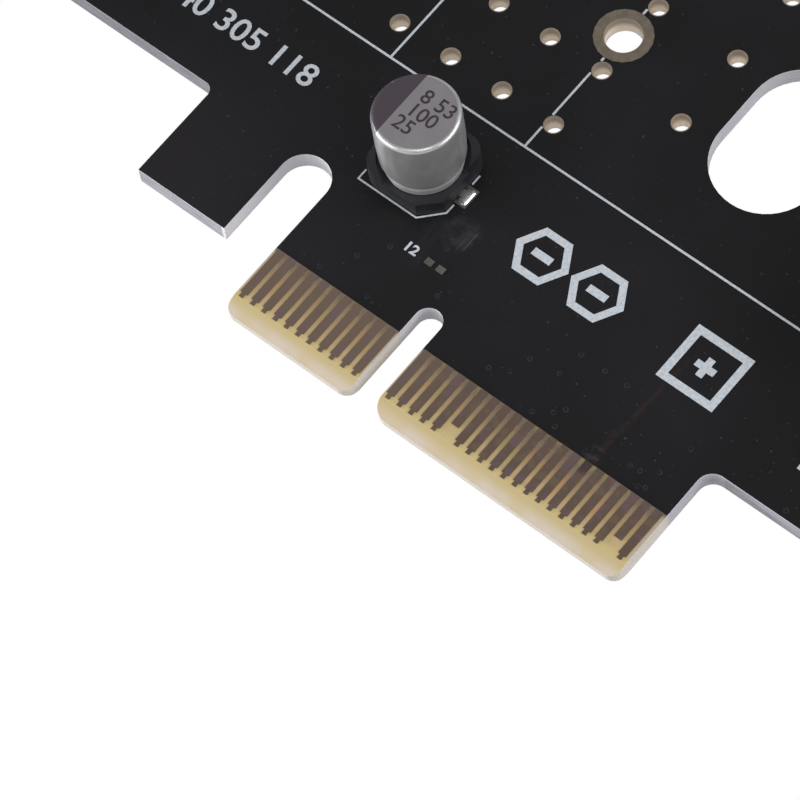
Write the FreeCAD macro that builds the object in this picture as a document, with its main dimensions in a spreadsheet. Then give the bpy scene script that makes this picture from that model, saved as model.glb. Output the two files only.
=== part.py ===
import FreeCAD, Part
import math
import os
import Sketcher

# NVMe adapter card: a short PCI Express x4 board that carries one M.2 module.
#
# Frame: millimetres. The origin is the centre of the key notch on the contact edge, in the
# plane of the component face. +X runs along the contact edge away from the mounting bracket,
# +Y runs from the contact edge into the board, +Z points out of the component face.

os.makedirs("parts", exist_ok=True)
doc = FreeCAD.newDocument("nvme_adapter_card")
Vector = FreeCAD.Vector

# ---------------------------------------------------------------------------------------
# Driving sizes. Every alias is one cell of the sheet and is written once, here.
# ---------------------------------------------------------------------------------------

SIZES = (
    # Board outline, measured from the key notch and the contact edge.
    ("board_thick", 1.6),
    ("board_end_left", 3.69),
    ("board_end_right", 6.61),
    ("board_top", 57.0),
    ("skirt_left", 12.87),
    ("skirt_right", 10.24),
    ("tab_width", 7.8),
    ("relief_width", 3.9),
    ("tab_foot", 4.72),
    ("edge_side_left", 0.18),
    ("edge_side_right", 0.28),
    ("relief_top", 12.97),
    ("key_width", 2.1),
    ("key_top", 8.57),
    ("board_corner_radius", 1.0),
    ("edge_corner_radius", 0.8),
    ("key_corner_radius", 1.2),
    ("left_step_radius", 0.7),
    ("right_step_radius", 1.2),
    ("bevel_length", 1.25),
    ("bevel_depth", 0.5),
    # Contact fingers.
    ("finger_pitch", 1.0),
    ("finger_width", 0.64),
    ("finger_tip_margin", 0.05),
    ("finger_tip_width", 0.34),
    ("finger_tip_length", 0.36),
    ("short_finger_setback", 1.16),
    ("finger_end", 5.73),
    ("finger_key_side", 0.13),
    ("copper", 0.05),
    # Module axis, the hole for each module length, and the plated rings.
    ("module_axis", 33.09),
    ("module_edge", 26.69),
    ("module_short", 30.0),
    ("module_medium", 42.0),
    ("module_long", 60.0),
    ("module_full", 80.0),
    ("mount_hole_radius", 1.4),
    ("mount_ring_radius", 2.13),
    # Ventilation: small round holes under the module and one large oblong hole.
    ("vent_radius", 0.71),
    ("vent_pitch", 4.59),
    ("vent_offset", 0.53),
    ("vent_side", 7.51),
    ("vent_far_below", 8.45),
    ("vent_near_below", 3.09),
    ("vent_near_above", 3.24),
    ("vent_far_above", 9.41),
    ("oblong_offset", 14.17),
    ("oblong_width", 8.2),
    ("oblong_length", 12.2),
    # Surface-mount electrolytic capacitor.
    ("can_left", 7.63),
    ("can_up", 16.61),
    ("can_radius", 3.15),
    ("can_top", 7.9),
    ("can_top_radius", 0.36),
    ("taper_top", 4.6),
    ("taper_foot", 2.85),
    ("taper_radius", 3.08),
    ("waist_height", 2.4),
    ("waist_radius", 2.86),
    ("lip_top", 2.15),
    ("lip_radius", 2.93),
    ("foot_radius", 2.84),
    ("can_foot", 1.5),
    ("base_width", 6.4),
    ("base_top", 1.4),
    ("base_chamfer", 1.4),
    ("base_corner_radius", 1.4),
    ("guard_side", 2.1),
    ("guard_height", 0.7),
    ("guard_clearance", 0.15),
    ("seal_radius", 2.45),
    ("lead_width", 0.65),
    ("lead_thick", 0.2),
    ("lead_reach", 3.75),
    ("lead_riser", 0.4),
    ("lead_riser_offset", 1.1),
    ("lead_clearance", 0.05),
    ("land_reach", 4.12),
    ("land_inner", 1.2),
    ("land_width", 1.66),
    # Unused resistor lands.
    ("resistor_left", 2.33),
    ("resistor_up", 11.13),
    ("resistor_pitch", 1.0),
    ("resistor_land_x", 0.63),
    ("resistor_land_y", 0.52),
    # M.2 socket.
    ("socket_length", 7.3),
    ("socket_end_wall", 1.35),
    ("socket_roof", 0.3),
    ("socket_gap", 0.15),
    ("module_card_width", 19.85),
    ("module_card_clearance", 0.125),
    ("mouth_floor", 2.35),
    ("mouth_opening", 1.1),
    ("mouth_depth", 3.9),
    ("module_insertion", 3.6),
    ("mouth_lead_in", 0.3),
    ("front_wall", 0.9),
    ("passage_side", 0.24),
    ("well_length", 2.6),
    ("foot_passage", 0.5),
    ("rib_width", 1.1),
    ("contact_pitch", 0.25),
    ("contact_width", 0.22),
    ("contact_thick", 0.15),
    ("contact_foot", 1.1),
    ("contact_clearance", 0.1),
    ("contact_land_width", 0.3),
    ("peg_radius", 0.6),
    ("peg_length", 1.2),
    ("peg_side", 1.45),
    ("peg_clearance", 0.1),
    ("hold_down_width", 1.8),
    ("hold_down_thick", 0.2),
    ("hold_down_reach", 1.2),
    ("hold_down_rise", 1.6),
    # Standoff, nut and screw for the module.
    ("standoff_height", 2.5),
    ("standoff_radius", 2.5),
    ("spigot_clearance", 0.1),
    ("spigot_past", 0.35),
    ("nut_flats", 5.0),
    ("nut_thick", 1.5),
    ("thread_radius", 1.0),
    ("thread_depth", 3.2),
    ("screw_head_radius", 2.0),
    ("screw_head_height", 1.3),
    ("screw_length", 2.6),
    ("recess_width", 0.45),
    ("recess_span", 2.0),
    ("recess_depth", 0.7),
    # Mounting bracket, low-profile height.
    ("bracket_gap", 0.2),
    ("sheet_thick", 0.86),
    ("bracket_width", 18.42),
    ("bracket_below", 2.54),
    ("bracket_foot", 12.3),
    ("bracket_head", 66.9),
    ("lip_depth", 11.43),
    ("bend_radius", 0.5),
    ("tongue_width", 10.2),
    ("tongue_length", 4.1),
    ("tongue_taper", 4.1),
    ("lip_notch_radius", 2.2),
    ("lip_notch_inset", 4.2),
    ("lip_notch_reach", 6.4),
    ("ear_width", 10.0),
    ("ear_length", 9.0),
    ("ear_relief", 1.0),
    ("ear_hole_inset", 4.6),
    ("ear_low_inset", 4.63),
    ("ear_high_inset", 5.5),
    # Bracket screws.
    ("bracket_thread_radius", 1.5),
    ("bracket_screw_clearance", 0.03),
    ("bracket_hole_clearance", 0.15),
    ("bracket_head_radius", 2.8),
    ("bracket_head_height", 1.8),
    ("bracket_screw_past", 0.94),
    # Decoupling capacitors beside the socket.
    ("chip_first_inset", 8.2),
    ("chip_up", 16.0),
    ("chip_pitch", 2.8),
    ("chip_length", 2.0),
    ("chip_width", 1.25),
    ("chip_height", 0.85),
    ("chip_cap", 0.4),
    ("chip_cap_thick", 0.05),
    ("chip_land_extra", 0.35),
)

# Counts and standard numbering of the contacts.
FINGERS = 32
KEY_AFTER_FINGER = 11
SHORT_FRONT = (17, 31)
SHORT_BACK = (1,)
CONTACTS = 75
KEYED_OUT = range(59, 67)
VENT_COLUMNS = 11
VENT_SIDES = 8
RING_SIDES = 20
SEAL_SIDES = 12
CHIPS = 3


class Size:
    """A length in millimetres together with the sheet expression that drives it."""

    def __init__(self, value, text):
        self.value = float(value)
        self.text = text

    def __add__(self, other):
        other = as_size(other)
        return Size(self.value + other.value, f"({self.text} + {other.text})")

    def __radd__(self, other):
        return as_size(other) + self

    def __sub__(self, other):
        other = as_size(other)
        return Size(self.value - other.value, f"({self.text} - {other.text})")

    def __rsub__(self, other):
        return as_size(other) - self

    def __mul__(self, factor):
        factor = as_size(factor)
        return Size(self.value * factor.value, f"({self.text} * {factor.text})")

    def __truediv__(self, factor):
        factor = as_size(factor)
        return Size(self.value / factor.value, f"({self.text} / {factor.text})")

    def __neg__(self):
        return Size(-self.value, f"(-1 * {self.text})")

    def __float__(self):
        return self.value


def as_size(number):
    """The same number as a Size, so that plain factors mix with sheet values."""
    if isinstance(number, Size):
        return number
    return Size(number, str(number))


class Sizes:
    """The sheet's cells, each one readable by its alias."""

    def __init__(self, table):
        self.sheet = doc.addObject("Spreadsheet::Sheet", "Sizes")
        for row, (alias, value) in enumerate(table, start=1):
            self.sheet.set(f"A{row}", alias)
            self.sheet.set(f"B{row}", str(value))
            self.sheet.setAlias(f"B{row}", alias)
        doc.recompute()
        for alias, _ in table:
            setattr(self, alias, Size(self.sheet.get(alias), f"Sizes.{alias}"))


s = Sizes(SIZES)

# Places worked out from the driving sizes.
bevel_end = s.bevel_length + s.finger_tip_margin
finger_key_gap = s.key_width + s.finger_width + s.finger_key_side * 2
edge_left = (finger_key_gap / 2 + s.finger_pitch * (KEY_AFTER_FINGER - 1)
             + s.finger_width / 2 + s.edge_side_left)
edge_right = (finger_key_gap / 2 + s.finger_pitch * (FINGERS - KEY_AFTER_FINGER - 1)
              + s.finger_width / 2 + s.edge_side_right)
tab_right = edge_left + s.relief_width
tab_left = tab_right + s.tab_width
ring_holes = [s.module_edge - length
              for length in (s.module_short, s.module_medium, s.module_long, s.module_full)]
standoff_x = ring_holes[-1]
mouth_x = s.module_edge - s.module_insertion
socket_back = mouth_x + s.socket_length
board_left = s.board_end_left - standoff_x
board_right = socket_back + s.board_end_right
mouth_ceiling = s.mouth_floor + s.mouth_opening
mouth_width = s.module_card_width + s.module_card_clearance * 2
passage_height = s.contact_thick + s.contact_clearance * 3
passage_width = (s.contact_pitch * (CONTACTS - 1) + s.contact_width + s.passage_side * 2)
socket_width = passage_width + s.socket_end_wall * 2
socket_height = mouth_ceiling + passage_height + s.socket_roof
rib_number = (KEYED_OUT[0] + KEYED_OUT[-1]) / 2
rib_offset = s.contact_pitch * (rib_number - (CONTACTS + 1) / 2)
peg_spread = socket_width / 2 - s.peg_side
peg_hole_radius = s.peg_radius + s.peg_clearance
peg_inset = s.socket_length - s.peg_radius * 2
bracket_inner = -(board_left + s.bracket_gap)
bracket_outer = bracket_inner - s.sheet_thick
bracket_low = -(s.board_thick + s.bracket_below)
ear_hole_x = bracket_inner + s.ear_hole_inset
ear_rows = (s.skirt_left + s.ear_low_inset, s.board_top - s.ear_high_inset)
bracket_hole_radius = s.bracket_thread_radius + s.bracket_hole_clearance
chip_first_x = board_right - s.chip_first_inset

nodes = []


# ---------------------------------------------------------------------------------------
# Helpers: bodies, sketches and features whose sizes are bound to the sheet.
# ---------------------------------------------------------------------------------------

def bind(thing, path, size):
    """Drive one property of an object from the sheet."""
    thing.setExpression(path, as_size(size).text)


def new_body(label):
    body = doc.addObject("PartDesign::Body", label)
    body.Label = label
    return body


def place(thing, x=0, y=0, z=0):
    """Put a finished sub-part at its place on the card."""
    for axis, size in (("x", x), ("y", y), ("z", z)):
        bind(thing, f"Placement.Base.{axis}", size)


def new_sketch(body, plane="XY_Plane", level=0):
    """A sketch on one of the body's own origin planes, lifted by level along its normal."""
    sketch = body.newObject("Sketcher::SketchObject", body.Name + "_sketch")
    support = [part for part in body.Origin.OriginFeatures if part.Role == plane][0]
    sketch.AttachmentSupport = [(support, "")]
    sketch.MapMode = "FlatFace"
    bind(sketch, "AttachmentOffset.Base.z", level)
    return sketch


def pin_axis(sketch, kind, geometry, position, size):
    """Fix one coordinate of a point, by DistanceX or DistanceY, or on the axis where it is 0."""
    size = as_size(size)
    if size.text == "0":
        axis = -2 if kind == "DistanceX" else -1
        sketch.addConstraint(Sketcher.Constraint("PointOnObject", geometry, position, axis))
        return
    index = sketch.addConstraint(Sketcher.Constraint(kind, geometry, position, size.value))
    sketch.setExpression(f"Constraints[{index}]", size.text)


def pin(sketch, geometry, position, x, y):
    """Fix one point of a sketch at x, y."""
    pin_axis(sketch, "DistanceX", geometry, position, x)
    pin_axis(sketch, "DistanceY", geometry, position, y)


def set_radius(sketch, geometry, radius):
    radius = as_size(radius)
    index = sketch.addConstraint(Sketcher.Constraint("Radius", geometry, radius.value))
    sketch.setExpression(f"Constraints[{index}]", radius.text)


def polygon(sketch, corners):
    """A closed outline of straight lines through the corners."""
    first = sketch.GeometryCount
    count = len(corners)
    points = [Vector(float(x), float(y), 0) for x, y in corners]
    for i in range(count):
        sketch.addGeometry(Part.LineSegment(points[i], points[(i + 1) % count]))
    for i in range(count):
        following = first + (i + 1) % count
        sketch.addConstraint(Sketcher.Constraint("Coincident", first + i, 2, following, 1))
    for i, (x, y) in enumerate(corners):
        pin(sketch, first + i, 1, x, y)


def rectangle(sketch, x_low, y_low, x_high, y_high):
    polygon(sketch, [(x_low, y_low), (x_high, y_low), (x_high, y_high), (x_low, y_high)])


def circle(sketch, x, y, radius):
    round_edge = Part.Circle(Vector(float(x), float(y), 0), Vector(0, 0, 1), float(radius))
    index = sketch.addGeometry(round_edge)
    pin(sketch, index, 3, x, y)
    set_radius(sketch, index, radius)


def arc(sketch, x, y, radius, start, end):
    """An arc pinned at its centre; start and end are first guesses in degrees."""
    centre = Part.Circle(Vector(float(x), float(y), 0), Vector(0, 0, 1), float(radius))
    piece = Part.ArcOfCircle(centre, math.radians(start), math.radians(end))
    index = sketch.addGeometry(piece)
    pin(sketch, index, 3, x, y)
    return index


def line(sketch, x1, y1, x2, y2):
    start = Vector(float(x1), float(y1), 0)
    return sketch.addGeometry(Part.LineSegment(start, Vector(float(x2), float(y2), 0)))


def tangent(sketch, first, first_end, second, second_end):
    sketch.addConstraint(Sketcher.Constraint("Tangent", first, first_end, second, second_end))


def round_topped_slot(sketch, x, foot, top, width):
    """An upright slot, open below, with a half-round top."""
    radius = width / 2
    centre = top - radius
    left = line(sketch, x - radius, foot, x - radius, centre)
    dome = arc(sketch, x, centre, radius, 0, 180)
    right = line(sketch, x + radius, centre, x + radius, foot)
    sill = line(sketch, x + radius, foot, x - radius, foot)
    tangent(sketch, left, 2, dome, 2)
    tangent(sketch, right, 1, dome, 1)
    sketch.addConstraint(Sketcher.Constraint("Coincident", right, 2, sill, 1))
    sketch.addConstraint(Sketcher.Constraint("Coincident", sill, 2, left, 1))
    sketch.addConstraint(Sketcher.Constraint("Vertical", left))
    sketch.addConstraint(Sketcher.Constraint("Vertical", right))
    sketch.addConstraint(Sketcher.Constraint("Horizontal", sill))
    set_radius(sketch, dome, radius)
    pin_axis(sketch, "DistanceY", sill, 1, foot)


def oblong(sketch, x, y, width, length):
    """An upright hole with straight sides and half-round ends."""
    radius = width / 2
    low = y - length / 2 + radius
    high = y + length / 2 - radius
    top = arc(sketch, x, high, radius, 0, 180)
    bottom = arc(sketch, x, low, radius, 180, 360)
    left = line(sketch, x - radius, high, x - radius, low)
    right = line(sketch, x + radius, low, x + radius, high)
    tangent(sketch, top, 2, left, 1)
    tangent(sketch, left, 2, bottom, 1)
    tangent(sketch, bottom, 2, right, 1)
    tangent(sketch, right, 2, top, 1)
    set_radius(sketch, top, radius)


def pad(body, sketch, length, reversed_way=False, midplane=False):
    feature = body.newObject("PartDesign::Pad", body.Name + "_pad")
    feature.Profile = sketch
    bind(feature, "Length", length)
    feature.Reversed = reversed_way
    feature.Midplane = midplane
    doc.recompute()
    return feature


def cut(body, sketch, depth=None, reversed_way=False, midplane=False):
    """Pocket a sketch out of the body, through everything unless a depth is given."""
    before = body.Shape.Volume
    feature = body.newObject("PartDesign::Pocket", body.Name + "_cut")
    feature.Profile = sketch
    if depth is None:
        feature.Type = "ThroughAll"
        feature.Midplane = True
    else:
        feature.Type = "Length"
        bind(feature, "Length", depth)
        feature.Midplane = midplane
        feature.Reversed = reversed_way
    doc.recompute()
    if not body.Shape.Volume < before:
        raise RuntimeError(f"{feature.Name} removes nothing from {body.Label}")
    return feature


def revolve(body, sketch, axis="V_Axis"):
    feature = body.newObject("PartDesign::Revolution", body.Name + "_turn")
    feature.Profile = sketch
    feature.ReferenceAxis = (sketch, [axis])
    feature.Angle = 360
    doc.recompute()
    return feature


def edges_where(shape, test):
    """Names of the shape's edges whose two ends both pass the test."""
    names = []
    for index, edge in enumerate(shape.Edges, start=1):
        ends = [vertex.Point for vertex in edge.Vertexes]
        if len(ends) == 2 and all(test(point) for point in ends):
            names.append(f"Edge{index}")
    return names


def near(value, target):
    return abs(value - float(target)) < 1e-4


def upright_edges(shape, x, y):
    """Edges parallel to Z above the point x, y."""
    return edges_where(shape, lambda p: near(p.x, x) and near(p.y, y))


def fillet(body, names, radius):
    """Round the named edges of the body as it stands."""
    if not names:
        raise RuntimeError(f"{body.Label} has no edge there to round")
    base = body.Tip
    feature = body.newObject("PartDesign::Fillet", body.Name + "_fillet")
    feature.Base = (base, names)
    bind(feature, "Radius", radius)
    doc.recompute()
    return feature


def computed(label, shapes):
    """A sub-part of several like solids whose shape is worked out from the sheet's values."""
    feature = doc.addObject("Part::Feature", label)
    feature.Label = label
    feature.Shape = Part.makeCompound(shapes)
    feature.Placement = FreeCAD.Placement()
    nodes.append(feature)
    return feature


def block(x_low, y_low, z_low, x_high, y_high, z_high):
    corner = Vector(float(x_low), float(y_low), float(z_low))
    return Part.makeBox(float(x_high - x_low), float(y_high - y_low),
                        float(z_high - z_low), corner)


def plate(points, z_low, thickness):
    """A flat piece with the given outline in X and Y."""
    corners = [Vector(float(x), float(y), float(z_low)) for x, y in points]
    face = Part.Face(Part.makePolygon(corners + corners[:1]))
    return face.extrude(Vector(0, 0, float(thickness)))


def strip(points, y_centre, width):
    """A bent strip with the given outline in X and Z, centred on y_centre."""
    start = float(y_centre) - float(width) / 2
    corners = [Vector(float(x), start, float(z)) for x, z in points]
    face = Part.Face(Part.makePolygon(corners + corners[:1]))
    return face.extrude(Vector(0, float(width), 0))


def ring_of_points(x, y, reach, sides):
    """Corners of a regular polygon whose flats lie at the given reach from x, y."""
    corner = float(reach) / math.cos(math.pi / sides)
    return [(float(x) + corner * math.cos(2 * math.pi * i / sides),
             float(y) + corner * math.sin(2 * math.pi * i / sides)) for i in range(sides)]


# ---------------------------------------------------------------------------------------
# Circuit board
# ---------------------------------------------------------------------------------------

def regular_polygon(sketch, x, y, radius, sides):
    """A small round hole drawn with flats, as large in area as a circle of that radius."""
    spread = 2 * math.pi / sides
    reach = radius * round(math.sqrt(spread / math.sin(spread)), 6)
    corners = []
    for i in range(sides):
        angle = spread * (i + 0.5)
        corners.append((x + reach * round(math.cos(angle), 6), y + reach * round(math.sin(angle), 6)))
    polygon(sketch, corners)


def cut_vents(body):
    """Ventilation holes: a column repeated away from the socket, and three beside the oblong."""
    rows = (s.module_axis - s.vent_far_below, s.module_axis - s.vent_near_below,
            s.module_axis + s.vent_near_above, s.module_axis + s.vent_far_above)
    side = new_sketch(body)
    for y in rows[1:]:
        regular_polygon(side, ring_holes[0] + s.vent_side, y, s.vent_radius, VENT_SIDES)
    cut(body, side)
    column = new_sketch(body)
    for y in rows:
        regular_polygon(column, ring_holes[0] + s.vent_offset, y, s.vent_radius, VENT_SIDES)
    first = cut(body, column)
    before = body.Shape.Volume
    columns = body.newObject("PartDesign::LinearPattern", body.Name + "_columns")
    columns.Originals = [first]
    columns.Direction = (column, ["H_Axis"])
    columns.Reversed = True
    bind(columns, "Length", s.vent_pitch * (VENT_COLUMNS - 1))
    columns.Occurrences = VENT_COLUMNS
    body.Tip = columns
    doc.recompute()
    if not body.Shape.Volume < before:
        raise RuntimeError("the vent columns cut nothing")


def make_circuit_board():
    body = new_body("circuit_board")
    outline = new_sketch(body)
    polygon(outline, [
        (-board_left, s.skirt_left),
        (-tab_left, s.skirt_left),
        (-tab_left, s.tab_foot),
        (-edge_left, s.tab_foot),
        (-edge_left, 0),
        (edge_right, 0),
        (edge_right, s.skirt_right),
        (board_right, s.skirt_right),
        (board_right, s.board_top),
        (-board_left, s.board_top),
    ])
    pad(body, outline, s.board_thick, reversed_way=True)

    relief = new_sketch(body)
    relief_x = -(tab_right + edge_left) / 2
    round_topped_slot(relief, relief_x, s.tab_foot, s.relief_top, tab_right - edge_left)
    cut(body, relief)

    key = new_sketch(body)
    round_topped_slot(key, as_size(0), 0, s.key_top, s.key_width)
    cut(body, key)

    key_side = s.key_width / 2
    shape = body.Shape
    fillet(body, upright_edges(shape, -edge_left, 0)
           + upright_edges(shape, -key_side, 0)
           + upright_edges(shape, edge_right, 0), s.edge_corner_radius)
    fillet(body, upright_edges(body.Shape, key_side, 0), s.key_corner_radius)
    fillet(body, upright_edges(body.Shape, -tab_left, s.skirt_left), s.left_step_radius)
    fillet(body, upright_edges(body.Shape, edge_right, s.skirt_right), s.right_step_radius)
    shape = body.Shape
    fillet(body, upright_edges(shape, board_right, s.board_top)
           + upright_edges(shape, board_right, s.skirt_right), s.board_corner_radius)

    # Both faces slope to a thin land at the contact edge, so that the card enters its slot.
    bevel = new_sketch(body, "YZ_Plane")
    polygon(bevel, [(0, 0), (s.bevel_length, 0), (0, -s.bevel_depth)])
    polygon(bevel, [(0, -s.board_thick), (s.bevel_length, -s.board_thick),
                    (0, s.bevel_depth - s.board_thick)])
    cut(body, bevel)

    vent = new_sketch(body)
    oblong(vent, ring_holes[0] + s.oblong_offset, s.module_axis, s.oblong_width, s.oblong_length)
    cut(body, vent)

    holes = new_sketch(body)
    for x in ring_holes:
        circle(holes, x, s.module_axis, s.mount_hole_radius)
    for y in ear_rows:
        regular_polygon(holes, ear_hole_x, y, bracket_hole_radius, VENT_SIDES)
    for side in (-1, 1):
        regular_polygon(holes, mouth_x + peg_inset, s.module_axis + peg_spread * side,
                        peg_hole_radius, VENT_SIDES)
    cut(body, holes)

    cut_vents(body)
    nodes.append(body)


# ---------------------------------------------------------------------------------------
# Contact fingers and plated rings
# ---------------------------------------------------------------------------------------

def finger_x(number):
    """Centre of finger 1 to 32; the key notch lies between 11 and 12."""
    half_gap = finger_key_gap / 2
    if number <= KEY_AFTER_FINGER:
        return -(half_gap + s.finger_pitch * (KEY_AFTER_FINGER - number))
    return half_gap + s.finger_pitch * (number - KEY_AFTER_FINGER - 1)


def finger(number, short, z_low, stepped=True):
    """One contact finger; a stepped one ends in the narrow stub of its plating lead."""
    x = finger_x(number)
    half = s.finger_width / 2
    half_tip = s.finger_tip_width / 2
    if short or not stepped:
        start = bevel_end + (s.short_finger_setback if short else 0)
        points = [(x - half, start), (x + half, start)]
    else:
        shoulder = bevel_end + s.finger_tip_length
        points = [(x - half, shoulder), (x - half_tip, shoulder), (x - half_tip, bevel_end),
                  (x + half_tip, bevel_end), (x + half_tip, shoulder), (x + half, shoulder)]
    points += [(x + half, s.finger_end), (x - half, s.finger_end)]
    return plate(points, z_low, s.copper)


def make_fingers():
    numbers = range(1, FINGERS + 1)
    computed("front_contacts", [finger(n, n in SHORT_FRONT, as_size(0)) for n in numbers])
    back = -(s.board_thick + s.copper)
    computed("back_contacts", [finger(n, n in SHORT_BACK, back, stepped=False) for n in numbers])


def make_hole_rings():
    """A plated ring on each face of the board, round the hole for every module length."""
    rings = []
    for x in ring_holes:
        for low in (0, -(s.board_thick + s.copper)):
            disc, bore = (plate(ring_of_points(x, s.module_axis, reach, RING_SIDES), low, s.copper)
                          for reach in (s.mount_ring_radius, s.mount_hole_radius))
            rings.append(disc.cut(bore))
    computed("standoff_hole_rings", rings)


# ---------------------------------------------------------------------------------------
# Surface-mount electrolytic capacitor: lands, leads, base, seal and can
# ---------------------------------------------------------------------------------------

def make_capacitor_can():
    """Drawn aluminium can: round shoulder, then a slight taper, a waist and a lip."""
    body = new_body("capacitor_can")
    sketch = new_sketch(body, "XZ_Plane")
    polygon(sketch, [
        (0, s.can_foot),
        (s.foot_radius, s.can_foot),
        (s.lip_radius, s.lip_top),
        (s.waist_radius, s.waist_height),
        (s.taper_radius, s.taper_foot),
        (s.can_radius, s.taper_top),
        (s.can_radius, s.can_top),
        (0, s.can_top),
    ])
    revolve(body, sketch)
    reach = float(s.can_radius)

    def rim(level):
        return [f"Edge{i}" for i, edge in enumerate(body.Shape.Edges, start=1)
                if isinstance(edge.Curve, Part.Circle)
                and near(edge.Curve.Radius, reach) and near(edge.Curve.Center.z, level)]

    fillet(body, rim(s.can_top), s.can_top_radius)
    place(body, -s.can_left, s.can_up)
    nodes.append(body)


def make_capacitor_base():
    """Moulded base: one corner cut, two corners raised round the can, a groove for each lead."""
    body = new_body("capacitor_base")
    half = s.base_width / 2
    outline = new_sketch(body, level=s.copper)
    polygon(outline, [
        (-half, -half),
        (half - s.base_chamfer, -half),
        (half, s.base_chamfer - half),
        (half, half),
        (-half, half),
    ])
    pad(body, outline, s.base_top - s.copper)

    guards = new_sketch(body, level=s.base_top)
    for side in (-1, 1):
        corner = half * side
        polygon(guards, [(corner, corner), (corner - s.guard_side * side, corner),
                         (corner, corner - s.guard_side * side)])
    pad(body, guards, s.guard_height)
    seat = new_sketch(body, level=s.base_top)
    circle(seat, 0, 0, s.can_radius + s.guard_clearance)
    cut(body, seat, s.guard_height, reversed_way=True)
    shape = body.Shape
    fillet(body, upright_edges(shape, half, half) + upright_edges(shape, -half, -half),
           s.base_corner_radius)

    groove = s.lead_width / 2 + s.lead_clearance
    hole = s.lead_riser / 2 + s.lead_clearance
    grooves = new_sketch(body, level=s.copper)
    for side in (-1, 1):
        inner = (s.lead_riser_offset - hole) * side
        outer = half * side
        rectangle(grooves, inner, -groove, outer, groove)
    cut(body, grooves, s.lead_thick + s.lead_clearance, reversed_way=True)

    holes = new_sketch(body)
    for side in (-1, 1):
        middle = s.lead_riser_offset * side
        rectangle(holes, middle - hole, -groove, middle + hole, groove)
    cut(body, holes)
    place(body, -s.can_left, s.can_up)
    nodes.append(body)


def make_capacitor_parts():
    x = -s.can_left
    y = s.can_up
    seal = plate(ring_of_points(x, y, s.seal_radius, SEAL_SIDES), s.base_top,
                 s.can_foot - s.base_top)
    leads = []
    lands = []
    for side in (-1, 1):
        riser_x = x + s.lead_riser_offset * side
        reach = s.lead_reach * side
        inner = s.lead_riser_offset - s.lead_riser / 2
        ends = sorted((float(x + inner * side), float(x + reach)))
        flat = block(as_size(ends[0]), y - s.lead_width / 2, s.copper,
                     as_size(ends[1]), y + s.lead_width / 2, s.copper + s.lead_thick)
        riser = block(riser_x - s.lead_riser / 2, y - s.lead_width / 2, s.copper,
                      riser_x + s.lead_riser / 2, y + s.lead_width / 2, s.base_top)
        leads.append(flat.fuse(riser).removeSplitter())
        ends = sorted((float(x + s.land_inner * side), float(x + s.land_reach * side)))
        lands.append(block(as_size(ends[0]), y - s.land_width / 2, as_size(0),
                           as_size(ends[1]), y + s.land_width / 2, s.copper))
    computed("capacitor_seal", [seal])
    computed("capacitor_leads", leads)
    computed("capacitor_lands", lands)


def make_resistor_lands():
    """Two bare lands for a chip resistor that isn't fitted."""
    lands = []
    for side in (-1, 1):
        x = s.resistor_pitch / 2 * side - s.resistor_left
        lands.append(block(x - s.resistor_land_x / 2, s.resistor_up - s.resistor_land_y / 2, 0,
                           x + s.resistor_land_x / 2, s.resistor_up + s.resistor_land_y / 2,
                           s.copper))
    computed("resistor_lands", lands)


# ---------------------------------------------------------------------------------------
# M.2 socket: housing, two rows of contacts, hold-downs and lands
# ---------------------------------------------------------------------------------------

def make_socket_housing():
    """Moulded housing, in its own frame: mouth face at X = 0, module axis at Y = 0."""
    body = new_body("socket_housing")
    profile = new_sketch(body, "XZ_Plane")
    polygon(profile, [
        (0, s.socket_gap),
        (s.socket_length, s.socket_gap),
        (s.socket_length, socket_height),
        (0, socket_height),
    ])
    pad(body, profile, socket_width, midplane=True)

    # The mouth narrows from its lead-in to the thickness of a module.
    mouth = new_sketch(body, "XZ_Plane")
    polygon(mouth, [
        (0, s.mouth_floor - s.mouth_lead_in),
        (s.mouth_lead_in, s.mouth_floor),
        (s.mouth_depth, s.mouth_floor),
        (s.mouth_depth, mouth_ceiling),
        (s.mouth_lead_in, mouth_ceiling),
        (0, mouth_ceiling + s.mouth_lead_in),
    ])
    cut(body, mouth, mouth_width, midplane=True)

    # Passages for the contacts: over the mouth to the rear face, and down to the board.
    upper = new_sketch(body, "XZ_Plane")
    rectangle(upper, s.front_wall, mouth_ceiling,
              s.socket_length, mouth_ceiling + passage_height)
    cut(body, upper, passage_width, midplane=True)
    lower = new_sketch(body, "XZ_Plane")
    rectangle(lower, s.front_wall, s.socket_gap,
              s.front_wall + s.well_length, s.mouth_floor)
    cut(body, lower, passage_width, midplane=True)
    toes = new_sketch(body, "XZ_Plane")
    rectangle(toes, 0, s.socket_gap, s.front_wall, s.foot_passage)
    cut(body, toes, passage_width, midplane=True)

    rib = new_sketch(body, level=s.socket_gap)
    rectangle(rib, 0, rib_offset - s.rib_width / 2,
              s.socket_length, rib_offset + s.rib_width / 2)
    pad(body, rib, socket_height - s.socket_gap)

    pegs = new_sketch(body, level=-s.peg_length)
    for side in (-1, 1):
        circle(pegs, peg_inset, peg_spread * side, s.peg_radius)
    pad(body, pegs, s.peg_length + s.socket_gap)

    feet = new_sketch(body)
    foot = (socket_width - passage_width) / 2
    for side in (-1, 1):
        rectangle(feet, 0, socket_width / 2 * side,
                  s.socket_length, (socket_width / 2 - foot) * side)
    pad(body, feet, s.socket_gap)
    place(body, mouth_x, s.module_axis)
    nodes.append(body)


def contact_y(number):
    """Place of contact 1 to 75 across the socket; odd ones are in the upper row."""
    middle = (CONTACTS + 1) // 2
    return s.module_axis + s.contact_pitch * (number - middle)


def contact_numbers(parity):
    return [n for n in range(1, CONTACTS + 1) if n % 2 == parity and n not in KEYED_OUT]


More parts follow.
